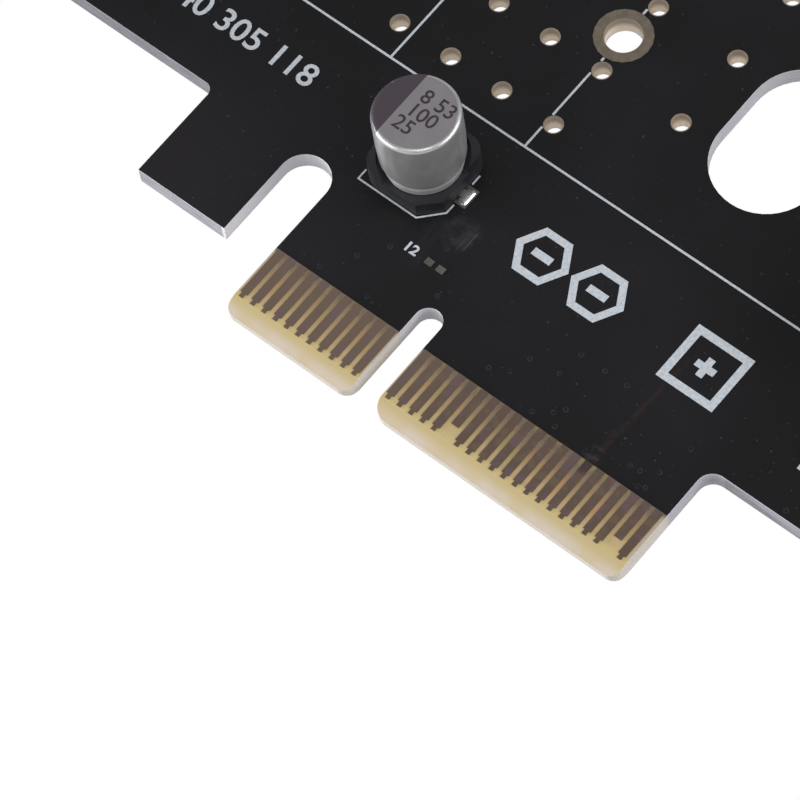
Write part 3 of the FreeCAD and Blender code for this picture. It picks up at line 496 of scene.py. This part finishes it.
def mask_colour(f, x, y, cloud):
    """Black mask in soft clouds, with a painted sheen over the tab and painted shade at the right,
    and over it dust, haze and light scratches.
    """
    mask = f.mottle(cloud, MASK_TONES, (0.35, 0.7))
    # painted sheen: the mask over the tab is painted lighter
    mask = f.lay(mask, MASK_TAB_SHEEN, f.over(x, *TAB_SHEEN_ACROSS), f.over(y, *TAB_SHEEN_ALONG), strength=0.6)
    # painted shade: the mask is painted darker towards its right end
    mask = f.lay(mask, MASK_RIGHT_SHADE, f.over(x, *RIGHT_SHADE_ACROSS), strength=0.5)
    smears = f.over(f.noise(240.0, detail=4.0, roughness=0.6, stretch=(1.0, 0.25, 1.0)), 0.56, 0.72)
    mask = f.lay(mask, MASK_WIPED, smears, f.between(x, *WIPED_ACROSS),
                 f.between(y, *WIPED_ALONG), strength=0.35)
    mask = f.lay(mask, MASK_SPECKS, f.over(f.noise(3100.0, detail=1.0), 0.735, 0.76), strength=0.5)
    mask = f.lay(mask, MASK_STREAK, streak_factor(f), strength=0.7)
    mask = f.lay(mask, MASK_SCRAPED, spot_factor(f, *SCRAPE),
                 f.over(f.noise(1900.0), 0.46, 0.6), strength=0.22)
    mask = f.lay(mask, MASK_HAZE, spot_factor(f, *HAZE),
                 f.over(f.noise(900.0), 0.3, 0.62), strength=0.5)
    lines = [f.times(f.between(x, *across), f.between(y, *along)) for across, along in SCRATCHES]
    return f.lay(mask, MASK_SCRATCH, f.most(*lines), strength=0.35)


def laminate_colour(f, x, y):
    """Olive laminate between the contacts, with painted highlights along the contact edges and
    painted shade in one band, bare below the contacts and cream on the bevel.
    """
    weave = f.noise(1500.0, detail=2.0, roughness=0.5, stretch=(0.6, 1.6, 1.0))
    hue = f.noise(700.0, detail=2.0, roughness=0.5, stretch=(1.0, 0.6, 1.0))
    olive = LAMINATE_LOW
    for along, colour in LAMINATE_STEPS:
        olive = f.lay(olive, colour, f.over(y, *along))
    olive = f.lay(olive, LAMINATE_SHADED, f.over(x, *SHADED_FROM), f.over(x, *SHADED_TO),
                  f.over(y, *SHADED_ALONG), strength=0.5)
    olive = f.lay(olive, LAMINATE_AMBER, f.over(hue, 0.56, 0.68), f.over(y, *AMBER_ALONG),
                  strength=0.36)
    olive = f.lay(olive, LAMINATE_GREEN, f.over(hue, 0.46, 0.36), strength=0.4)

    half = CONTACT_PITCH / 2
    from_gap = f.size_of(f.math("SUBTRACT", f.math("FRACT", f.math("ADD", x, half)), half))
    # painted highlight: a pale line on the laminate along each contact's edge, near the mask
    olive = f.lay(olive, LAMINATE_EDGE_HIGHLIGHT, f.over(from_gap, *HIGHLIGHT_FROM_GAP), f.over(y, *HIGHLIGHT_ALONG),
                  f.over(weave, 0.42, 0.6), strength=0.55)
    beside = f.most(f.over(x, *FIRST_CONTACT_SIDE), f.between(x, *KEY_SIDES),
                    f.over(x, *LAST_CONTACT_SIDE))
    olive = f.lay(olive, LAMINATE_BESIDE, beside, f.over(y, *BESIDE_ALONG), strength=0.7)

    bare = f.lay(olive, LAMINATE_BARE, f.over(y, *BELOW_CONTACTS))
    bare = f.lay(bare, BEVEL_TONE, f.over(y, *BEVEL_START))
    cream = f.mottle(f.noise(330.0, detail=2.0), BEVEL_FOOT_TONES, (0.4, 0.62))
    return f.lay(bare, cream, f.over(y, *BEVEL_FOOT))


def cut_colour(f, x, y, strata):
    """Sawn laminate in fine layers, with a painted highlight along the upper lip and painted light
    inside the narrow cuts.
    """
    z = f.axis("Z")
    cut = f.mottle(strata, CUT_TONES, (0.35, 0.68))
    # painted highlight: the upper lip of each cut edge is painted paler
    cut = f.lay(cut, CUT_LIP_HIGHLIGHT, f.over(z, *LIP_HIGHLIGHT_HEIGHT), strength=0.6)
    cut = f.lay(cut, CUT_LOWER_LIP, f.over(z, *LOWER_LIP), strength=0.2)
    # painted light: the walls inside the key notch, the oblong slot, the relief and the right step
    # are painted paler against their shade
    inside = f.most(
        f.times(f.over(f.size_of(x), *KEY_ACROSS), f.over(y, *KEY_ALONG), 0.6),
        f.times(f.between(x, *OBLONG_ACROSS), f.over(y, *OBLONG_ALONG), 0.6),
        f.times(f.between(x, *RELIEF_ACROSS), 0.85),
        f.times(f.between(x, *RIGHT_STEP_ACROSS), 0.25))
    cut = f.lay(cut, CUT_INSIDE_PAINTED_LIGHT, inside, f.over(y, *SHORT_OF_FAR_EDGE), strength=0.8)
    by_contacts = f.times(
        f.over(y, MASK_END + CONTACT_WALLS_SOFT, MASK_END - CONTACT_WALLS_SOFT),
        f.over(x, *CONTACT_WALLS_ACROSS))
    return f.lay(cut, CUT_BY_CONTACTS, by_contacts, strength=0.75)


def board_finish():
    """Black solder mask, bare laminate at the contacts and along every cut edge."""
    f = Finish("board_mask_and_laminate")
    x, y = f.axis("X"), f.axis("Y")
    wall = f.over(f.size_of(f.facing("Z")), *STANDS_UPRIGHT)
    cloud = f.noise(60.0)
    fine = f.noise(5200.0, detail=2.0)
    strata = f.noise(900.0, roughness=0.6, stretch=(0.5, 0.5, 9.0))
    contacts = f.times(f.over(y, MASK_END + MASK_EDGE_SOFT, MASK_END - MASK_EDGE_SOFT),
                       f.between(x, *CONTACTS_ACROSS))
    face = f.mix(contacts, mask_colour(f, x, y, cloud), laminate_colour(f, x, y))
    f.set(Base_Color=f.mix(wall, face, cut_colour(f, x, y, strata)))
    f.set(Specular_IOR_Level=0.2, IOR=1.5)
    satin = f.math("ADD", f.times(f.over(cloud, 0.3, 0.75), 0.1), 0.42)
    f.set(Roughness=f.most(satin, f.times(f.most(wall, contacts), 0.62)))
    relief = f.math("ADD", f.times(fine, 0.35), f.times(strata, wall, 0.9))
    f.bump(relief, distance=0.012, strength=0.5)
    return f.material


# Contacts, rings, drilled walls and print

GOLD_LEFT = tone(112, 95, 84)
GOLD_RIGHT = tone(101, 84, 74)
GOLD_VIOLET = tone(112, 92, 100)
GOLD_GREY = tone(112, 100, 80)
GOLD_STAIN = tone(66, 50, 54)
GOLD_ACROSS = (-2.0, 9.0)
STAIN = (15.5, 5.4, 0.8)
RING_TONES = tone(113, 104, 91), tone(125, 115, 101)
DRILLED_BROWN = tone(98, 83, 68), tone(118, 101, 83)
DRILLED_PAINTED_LIGHT = tone(250, 234, 212)
DRILLED_PAINTED_LIGHT_LOWEST = tone(255, 250, 246)
PAINTED_LIGHT_DEPTH = (-0.4, -1.15)
PAINTED_LIGHT_LOWEST_DEPTH = (-1.15, -1.5)
PAINTED_GLOW_COLOUR = (1.0, 0.88, 0.76)
PAINTED_GLOW_STRENGTH = 0.09
PRINT_TONES = tone(176, 182, 190), tone(198, 203, 210)


def dull_gold_finish():
    """Worn thin plating: brown, with faint violet and grey patches and a stained spot."""
    f = Finish("dull_gold")
    tint = f.noise(800.0, detail=2.0)
    colour = f.mix(f.over(f.axis("X"), *GOLD_ACROSS), GOLD_LEFT, GOLD_RIGHT)
    colour = f.lay(colour, GOLD_VIOLET, f.over(tint, 0.52, 0.64), strength=0.5)
    colour = f.lay(colour, GOLD_GREY, f.over(tint, 0.45, 0.35), strength=0.5)
    colour = f.lay(colour, GOLD_STAIN, spot_factor(f, *STAIN), strength=0.8)
    f.set(Base_Color=colour, Metallic=0.35, Roughness=0.42, Specular_IOR_Level=0.3)
    f.bump(f.noise(4200.0, roughness=0.6, stretch=(3.0, 0.3, 1.0)), distance=0.004, strength=0.35)
    return f.material


def ring_finish():
    """Mottled brown copper under thin plating."""
    f = Finish("ring_copper")
    patches = f.noise(1700.0)
    f.set(Base_Color=f.mottle(patches, RING_TONES))
    f.set(Metallic=0.4, Roughness=0.46, Specular_IOR_Level=0.35)
    f.bump(patches, distance=0.006, strength=0.4)
    return f.material


def drilled_wall_finish():
    """Bare drilled laminate: brown below the mask, with painted light that turns it paler with
    depth, and a faint painted glow.
    """
    f = Finish("drilled_wall")
    z = f.axis("Z")
    strata = f.noise(1100.0, roughness=0.6, stretch=(0.6, 0.6, 7.0))
    colour = f.mottle(strata, DRILLED_BROWN)
    # painted light: the wall is painted paler, then near white, towards its lower end
    colour = f.lay(colour, DRILLED_PAINTED_LIGHT, f.over(z, *PAINTED_LIGHT_DEPTH))
    colour = f.lay(colour, DRILLED_PAINTED_LIGHT_LOWEST, f.over(z, *PAINTED_LIGHT_LOWEST_DEPTH))
    f.set(Base_Color=colour, Roughness=0.6, Specular_IOR_Level=0.3)
    # painted glow: a faint emission that lifts the walls out of their shade
    f.set(Emission_Color=PAINTED_GLOW_COLOUR, Emission_Strength=PAINTED_GLOW_STRENGTH)
    f.bump(strata, distance=0.01, strength=0.5)
    return f.material


def print_finish():
    """White printed ink, slightly rough, thin in places."""
    f = Finish("printed_ink")
    grain = f.noise(4300.0)
    f.set(Base_Color=f.mottle(grain, PRINT_TONES, (0.3, 0.72)))
    f.set(Roughness=0.6, Specular_IOR_Level=0.25)
    f.bump(grain, distance=0.004, strength=0.4)
    return f.material


# Capacitor can

CAN_METAL = tone(182, 182, 184), tone(200, 200, 201)
CAN_FOOT_HIGHLIGHT = tone(232, 232, 234)
CAN_WAIST_SHADE = tone(100, 100, 104)
CAN_TOP = tone(153, 148, 154)
CAN_MARK = tone(70, 60, 69)
FOOT_HIGHLIGHT_HEIGHT = (2.5, 2.15)
WAIST_SHADE_FROM, WAIST_SHADE_TO = (2.8, 2.5), (2.2, 2.4)
CAN_MARK_ACROSS = (-8.81, -8.85)
CAN_MARK_FACING = (0.3, 0.5)
CAN_TOP_FACING = (0.96, 0.99)


def can_finish():
    """Satin drawn aluminium with the dark polarity mark across one side of its top, a painted
    highlight on the foot band and painted shade in the waist groove.
    """
    f = Finish("can_aluminium")
    z = f.axis("Z")
    up = f.facing("Z")
    drawn = f.noise(900.0, stretch=(1.0, 1.0, 0.08))
    cloudy = f.noise(420.0)
    mark = f.times(f.over(up, *CAN_MARK_FACING), f.over(f.axis("X"), *CAN_MARK_ACROSS))
    metal = f.mottle(cloudy, CAN_METAL, (0.35, 0.7))
    # painted highlight: the rounded foot band is painted near white
    metal = f.lay(metal, CAN_FOOT_HIGHLIGHT, f.over(z, *FOOT_HIGHLIGHT_HEIGHT), strength=0.75)
    # painted shade: the waist groove is painted darker
    metal = f.lay(metal, CAN_WAIST_SHADE, f.over(z, *WAIST_SHADE_FROM), f.over(z, *WAIST_SHADE_TO),
                  strength=0.5)
    metal = f.lay(metal, CAN_TOP, f.over(up, *CAN_TOP_FACING), strength=0.9)
    f.set(Base_Color=f.lay(metal, CAN_MARK, mark, f.over(cloudy, 0.1, 0.3)))
    f.set(Metallic=f.math("SUBTRACT", 0.72, f.times(mark, 0.58)))
    f.set(Roughness=f.math("ADD", 0.3, f.times(f.over(drawn, 0.3, 0.7), 0.12)))
    relief = f.math("ADD", f.times(drawn, 0.6), f.times(cloudy, 0.4))
    f.bump(relief, distance=0.006, strength=0.35)
    return f.material


# Finishes of one kind, each with a dark and a light tone

def plastic_finish(name, dark, light, rough):
    f = Finish(name)
    f.set(Base_Color=f.mottle(f.noise(300.0, detail=2.0), (dark, light)))
    f.set(Roughness=rough, Specular_IOR_Level=0.35)
    f.bump(f.noise(5200.0, detail=2.0), distance=0.008, strength=0.5)
    return f.material


def metal_finish(name, dark, light, rough, stretch=(1.0, 1.0, 1.0), scale=1400.0, depth=0.005):
    f = Finish(name)
    brushed = f.noise(scale, roughness=0.6, stretch=stretch)
    f.set(Base_Color=f.mottle(f.noise(160.0, detail=2.0), (dark, light)))
    f.set(Metallic=0.95)
    f.set(Roughness=f.math("ADD", rough, f.times(f.over(brushed, 0.3, 0.7), 0.1)))
    f.bump(brushed, distance=depth, strength=0.4)
    return f.material


def thin_coat_finish(name, dark, light, scale, contrast, rough, gloss):
    """A coat too thin to have relief of its own."""
    f = Finish(name)
    f.set(Base_Color=f.mottle(f.noise(scale, detail=2.0), (dark, light), contrast))
    f.set(Roughness=rough, Specular_IOR_Level=gloss)
    return f.material


BOARD = board_finish()
GOLD = dull_gold_finish()
RING = ring_finish()
DRILLED_WALL = drilled_wall_finish()
PRINT = print_finish()
CAN = can_finish()
INK = thin_coat_finish("dark_ink", tone(48, 41, 48), tone(66, 58, 66), 3900.0, (0.35, 0.7),
                       0.6, 0.25)
VIA = thin_coat_finish("mask_over_via", tone(29, 30, 33), tone(42, 43, 47), 2600.0, (0.4, 0.6),
                       0.45, 0.2)
BASE_PLASTIC = plastic_finish("base_plastic", tone(26, 26, 29), tone(36, 36, 40), 0.5)
SOCKET_PLASTIC = plastic_finish("socket_plastic", tone(30, 30, 32), tone(40, 40, 43), 0.48)
RUBBER = plastic_finish("seal_rubber", tone(24, 24, 25), tone(32, 32, 33), 0.7)
CERAMIC = plastic_finish("chip_ceramic", tone(142, 118, 92), tone(164, 138, 108), 0.45)
TIN = metal_finish("dull_tin", tone(150, 148, 146), tone(176, 175, 173), 0.34)
LAND = metal_finish("bare_land", tone(110, 106, 100), tone(128, 124, 118), 0.5)
SOLDER = metal_finish("solder", tone(176, 178, 182), tone(206, 208, 212), 0.2, scale=900.0)
CONTACT = metal_finish("contact_gold", tone(186, 150, 92), tone(206, 172, 112), 0.28)
NICKEL = metal_finish("nickel_plate", tone(176, 174, 168), tone(196, 194, 188), 0.26)
ZINC = metal_finish("zinc_steel", tone(164, 167, 172), tone(174, 177, 182), 0.3,
                    stretch=(1.0, 0.06, 1.0), scale=1500.0, depth=0.003)

NODE_FINISH = {
    "circuit_board": BOARD,
    "front_contacts": GOLD,
    "back_contacts": GOLD,
    "standoff_hole_rings": RING,
    "capacitor_can": CAN,
    "capacitor_base": BASE_PLASTIC,
    "capacitor_seal": RUBBER,
    "capacitor_leads": TIN,
    "capacitor_lands": LAND,
    "resistor_lands": LAND,
    "socket_housing": SOCKET_PLASTIC,
    "socket_rear_contacts": CONTACT,
    "socket_front_contacts": CONTACT,
    "socket_lands": TIN,
    "socket_hold_downs": TIN,
    "module_standoff": NICKEL,
    "standoff_nut": NICKEL,
    "module_screw": NICKEL,
    "bracket_screws": NICKEL,
    "mounting_bracket": ZINC,
    "chip_capacitor_bodies": CERAMIC,
    "chip_capacitor_terminals": TIN,
    "chip_capacitor_lands": LAND,
}

for node_name, node_finish in NODE_FINISH.items():
    for material_slot in nodes[node_name].material_slots:
        material_slot.material = node_finish


# ---------------------------------------------------------------------------
# Making pieces
# ---------------------------------------------------------------------------

def deselect():
    if bpy.context.object and bpy.context.object.mode != "OBJECT":
        bpy.ops.object.mode_set(mode="OBJECT")
    bpy.ops.object.select_all(action="DESELECT")


def settle(piece):
    """Put a piece's place and turn into its mesh."""
    deselect()
    piece.select_set(True)
    bpy.context.view_layer.objects.active = piece
    bpy.ops.object.transform_apply(location=True, rotation=True, scale=True)
    return piece


def join(pieces, name):
    deselect()
    for piece in pieces:
        piece.select_set(True)
    bpy.context.view_layer.objects.active = pieces[0]
    if len(pieces) > 1:
        bpy.ops.object.join()
    piece = bpy.context.object
    piece.name = name
    piece.data.name = name
    return piece


def hand_over(piece, finish):
    """Give a finished piece its material and its body."""
    piece.data.materials.clear()
    piece.data.materials.append(finish)
    for polygon in piece.data.polygons:
        polygon.material_index = 0
    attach(piece, "root")


def hand_over_print(strokes, name):
    hand_over(join(strokes, name), PRINT)


def stroke_between(rails):
    """A cube flattened to the print's thickness, its corners moved onto two pairs of points."""
    deselect()
    bpy.ops.mesh.primitive_cube_add(size=2.0, location=(0.0, 0.0, 0.0))
    piece = bpy.context.object
    for vertex in piece.data.vertices:
        x, y = rails[0 if vertex.co.x < 0 else 1][0 if vertex.co.y < 0 else 1]
        vertex.co = (x * MM, y * MM, (PRINT_RAISE if vertex.co.z > 0 else 0.0) * MM)
    return piece


def bar(x1, y1, x2, y2, width):
    """A flat stroke between two points, cut square at its ends."""
    length = math.hypot(x2 - x1, y2 - y1)
    across = (-(y2 - y1) / length * width / 2, (x2 - x1) / length * width / 2)
    rails = [[(x - across[0], y - across[1]), (x + across[0], y + across[1])]
             for x, y in ((x1, y1), (x2, y2))]
    return stroke_between(rails)


def mitres(points, width):
    """The two side points at every corner of a stroke."""
    closed = points[0] == points[-1]
    count = len(points) - 1
    ways = []
    for start, end in zip(points[:-1], points[1:]):
        length = math.hypot(end[0] - start[0], end[1] - start[1])
        ways.append(((end[0] - start[0]) / length, (end[1] - start[1]) / length))
    rails = []
    for i, (x, y) in enumerate(points):
        before = ways[(i - 1) % count] if closed or i > 0 else ways[0]
        after = ways[i % count] if closed or i < count else ways[-1]
        across = Vector((-(before[1] + after[1]), before[0] + after[0])).normalized()
        reach = width / 2 / max(MITRE_LIMIT, across.dot(Vector((-after[1], after[0]))))
        rails.append([(x - across.x * reach, y - across.y * reach),
                      (x + across.x * reach, y + across.y * reach)])
    return rails


def printed_line(points, width):
    """One stroke through the points with mitred corners."""
    rails = mitres(points, width)
    stroke = join([stroke_between(pair) for pair in zip(rails[:-1], rails[1:])], "stroke")
    bpy.ops.object.mode_set(mode="EDIT")
    bpy.ops.mesh.select_all(action="SELECT")
    bpy.ops.mesh.remove_doubles(threshold=WELD_DISTANCE)
    bpy.ops.mesh.select_all(action="DESELECT")
    bpy.ops.mesh.select_interior_faces()
    bpy.ops.mesh.delete(type="FACE")
    bpy.ops.mesh.select_all(action="SELECT")
    bpy.ops.mesh.normals_make_consistent(inside=False)
    bpy.ops.object.mode_set(mode="OBJECT")
    return stroke


def copies_at(piece, places):
    """Copies of a piece that was made at the origin, each with its own mesh."""
    copies = []
    for x, y in places:
        deselect()
        piece.select_set(True)
        bpy.context.view_layer.objects.active = piece
        bpy.ops.object.duplicate(linked=False)
        copy = bpy.context.object
        copy.location = (x * MM, y * MM, 0.0)
        copies.append(settle(copy))
    bpy.data.objects.remove(piece)
    return copies


def washer(inner, outer, z_low, height, sides):
    """A flat ring: a filled circle, inset to leave its rim, then thickened."""
    deselect()
    bpy.ops.mesh.primitive_circle_add(vertices=sides, radius=outer * MM, fill_type="NGON",
                                      location=(0.0, 0.0, z_low * MM))
    piece = bpy.context.object
    bpy.ops.object.mode_set(mode="EDIT")
    bpy.ops.mesh.select_all(action="SELECT")
    bpy.ops.mesh.inset(thickness=(outer - inner) * MM, depth=0.0)
    bpy.ops.mesh.delete(type="FACE")
    bpy.ops.mesh.select_all(action="SELECT")
    bpy.ops.mesh.extrude_region_move(TRANSFORM_OT_translate={"value": (0, 0, height * MM)})
    bpy.ops.mesh.select_all(action="SELECT")
    bpy.ops.mesh.normals_make_consistent(inside=False)
    bpy.ops.object.mode_set(mode="OBJECT")
    return settle(piece)


def numerals(text, x, y, height, raise_by, weight, z_low=0.0, align="CENTER", squeeze=1.0):
    """Plain numerals as a thin solid, set with their middle line through x, y."""
    deselect()
    bpy.ops.object.text_add(location=(0.0, 0.0, 0.0))
    piece = bpy.context.object
    piece.data.body = text
    piece.data.align_x = align
    piece.data.align_y = "CENTER"
    piece.data.size = height / DIGIT_SHARE * MM
    piece.data.resolution_u = DIGIT_CURVE_STEPS
    piece.data.offset = weight * MM
    piece.data.extrude = raise_by / 2 * MM
    bpy.ops.object.convert(target="MESH")
    piece = bpy.context.object
    piece.scale = (squeeze, 1.0, 1.0)
    piece.location = (x * MM, y * MM, (z_low + raise_by / 2) * MM)
    return settle(piece)


# ---------------------------------------------------------------------------
# Printed lines and marks
# ---------------------------------------------------------------------------

def stretches_between(gaps):
    """The stretches of a line across the module band that miss its gaps."""
    stretches = []
    at = MODULE_LOW + OUTLINE_WIDTH / 2
    end = MODULE_HIGH - OUTLINE_WIDTH / 2
    for low, high in sorted(gaps):
        if low > at:
            stretches.append((at, low))
        at = max(at, high)
    if at < end:
        stretches.append((at, end))
    return stretches


def module_outline():
    """Two long lines, and a cross line at each open ring that stops short of holes."""
    left, right = OUTLINE_ENDS
    strokes = [printed_line([(left, y), (right, y)], OUTLINE_WIDTH)
               for y in (MODULE_LOW, MODULE_HIGH)]
    ring_gap = RING_REACH + OUTLINE_RING_GAP
    vent_gap = VENT_BORE + OUTLINE_VENT_GAP
    for x in OPEN_RINGS:
        gaps = [(MODULE_AXIS - ring_gap, MODULE_AXIS + ring_gap)]
        for column in VENT_COLUMNS:
            off = abs(column - x)
            if off < vent_gap:
                half = math.sqrt(vent_gap * vent_gap - off * off)
                gaps += [(row - half, row + half) for row in VENT_ROWS]
        strokes += [bar(x, start, x, end, OUTLINE_WIDTH) for start, end in stretches_between(gaps)]
    hand_over_print(strokes, "module_outline_print")


def capacitor_outline():
    strokes = [printed_line(points, CAPACITOR_LINE_WIDTH) for points in CAPACITOR_LINES]
    hand_over_print(strokes, "capacitor_outline_print")


def frame_corners(low, high):
    """The corners of an upright rectangle, back to the first one."""
    return [low, (high[0], low[1]), high, (low[0], high[1]), low]


def chip_outline():
    stroke = printed_line(frame_corners(*CHIP_FRAME), CHIP_LINE_WIDTH)
    hand_over_print([stroke], "chip_outline_print")


def twin_hexagons():
    """Two plain hexagons, each with a bar in it."""
    corners = []
    for i in range(6):
        angle = math.radians(60 * i)
        corners.append((HEXAGON_REACH * math.cos(angle), HEXAGON_REACH * math.sin(angle)))
    ring = printed_line(corners + corners[:1], HEXAGON_WIDTH)
    middle = bar(-HEXAGON_BAR_HALF, 0.0, HEXAGON_BAR_HALF, 0.0, HEXAGON_BAR_WIDTH)
    marks = copies_at(join([ring, middle], "hexagon"), HEXAGON_PLACES)
    hand_over_print(marks, "twin_hexagon_print")


def square_and_cross():
    """A plain square round a cross, whose upright is two strokes that meet the bar."""
    x, y = SQUARE_PLACE
    corners = frame_corners((x - SQUARE_HALF, y - SQUARE_HALF), (x + SQUARE_HALF, y + SQUARE_HALF))
    strokes = [printed_line(corners, SQUARE_WIDTH)]
    strokes.append(bar(x - CROSS_HALF, y, x + CROSS_HALF, y, CROSS_WIDTH))
    strokes.append(bar(x, y - CROSS_HALF, x, y - CROSS_WIDTH / 2, CROSS_WIDTH))
    strokes.append(bar(x, y + CROSS_WIDTH / 2, x, y + CROSS_HALF, CROSS_WIDTH))
    hand_over_print(strokes, "square_and_cross_print")


def printed_numbers():
    rows = [numerals(raise_by=PRINT_RAISE, weight=NUMBER_WEIGHT, **number)
            for number in (LONG_NUMBER, SHORT_NUMBER)]
    hand_over_print(rows, "number_print")


def can_numbers():
    """Plain numerals on the bright part of the can's top."""
    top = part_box("capacitor_can")[1][2] / MM
    x, y = CAN_PLACE
    rows = [numerals(text, x + across, y + up, CAN_NUMBER_HEIGHT, CAN_NUMBER_RAISE,
                     CAN_NUMBER_WEIGHT, z_low=top) for text, across, up in CAN_ROWS]
    hand_over(join(rows, "can_number_print"), INK)


# ---------------------------------------------------------------------------
# Drilled walls, covered vias and solder
# ---------------------------------------------------------------------------

def vent_walls():
    """The bare drilled wall inside each vent, a hair proud of both faces."""
    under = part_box("circuit_board")[0][2] / MM
    places = list(SIDE_VENTS) + [(column, row) for column in VENT_COLUMNS for row in VENT_ROWS]
    wall = washer(VENT_BORE - VENT_WALL_INWARDS, VENT_BORE + VENT_WALL_OUTWARDS,
                  under - VENT_WALL_PROUD, VENT_WALL_PROUD * 2 - under, VENT_SIDES)
    hand_over(join(copies_at(wall, places), "vent_walls"), DRILLED_WALL)


def standoff_hole_walls():
    """The wall of each open standoff hole, from one ring's face to the other's."""
    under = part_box("standoff_hole_rings")[0][2] / MM
    wall = washer(RING_WALL_INSIDE, RING_WALL_OUTSIDE, under, RING_COPPER - under, RING_SIDES)
    walls = copies_at(wall, [(x, MODULE_AXIS) for x in OPEN_RINGS])
    hand_over(join(walls, "standoff_hole_walls"), DRILLED_WALL)


def covered_vias():
    """Small vias under the mask: each one a faint ring."""
    ring = washer(VIA_INSIDE, VIA_OUTSIDE, VIA_LOW, VIA_HEIGHT, VIA_SIDES)
    hand_over(join(copies_at(ring, VIA_PLACES), "covered_vias"), VIA)


def solder_blob():
    """A cube narrowed towards its top, subdivided and rounded."""
    deselect()
    bpy.ops.mesh.primitive_cube_add(size=1.0, location=(0.0, 0.0, SOLDER_MIDDLE * MM),
                                    scale=[length * MM for length in SOLDER_SIZE])
    blob = settle(bpy.context.object)
    bpy.ops.object.mode_set(mode="EDIT")
    mesh = bmesh.from_edit_mesh(blob.data)
    for vertex in mesh.verts:
        if vertex.co.z > SOLDER_MIDDLE * MM:
            vertex.co.x *= SOLDER_TOP_SHARE[0]
            vertex.co.y *= SOLDER_TOP_SHARE[1]
    bmesh.update_edit_mesh(blob.data)
    bpy.ops.mesh.select_all(action="SELECT")
    bpy.ops.mesh.subdivide(number_cuts=SOLDER_CUTS)
    bpy.ops.object.mode_set(mode="OBJECT")
    rounding = blob.modifiers.new("round", "SUBSURF")
    rounding.levels = SOLDER_ROUNDING
    rounding.render_levels = SOLDER_ROUNDING
    bpy.ops.object.modifier_apply(modifier=rounding.name)
    bpy.ops.object.shade_smooth()
    return blob


def solder_joint():
    """Solder that rises from each land over the capacitor's lead."""
    x, y = CAN_PLACE
    blobs = copies_at(solder_blob(), [(x - SOLDER_OFFSET, y), (x + SOLDER_OFFSET, y)])
    hand_over(join(blobs, "solder_joint"), SOLDER)


# ---------------------------------------------------------------------------
# The finished scene
# ---------------------------------------------------------------------------

module_outline()
capacitor_outline()
chip_outline()
twin_hexagons()
square_and_cross()
printed_numbers()
can_numbers()
vent_walls()
standoff_hole_walls()
covered_vias()
solder_joint()

set_camera()
make_floor()
make_world()
for lamp_name, lamp_size, lamp_power, lamp_place in LAMPS:
    add_lamp(lamp_name, lamp_size, lamp_power, lamp_place)
scene.view_settings.view_transform = "Standard"
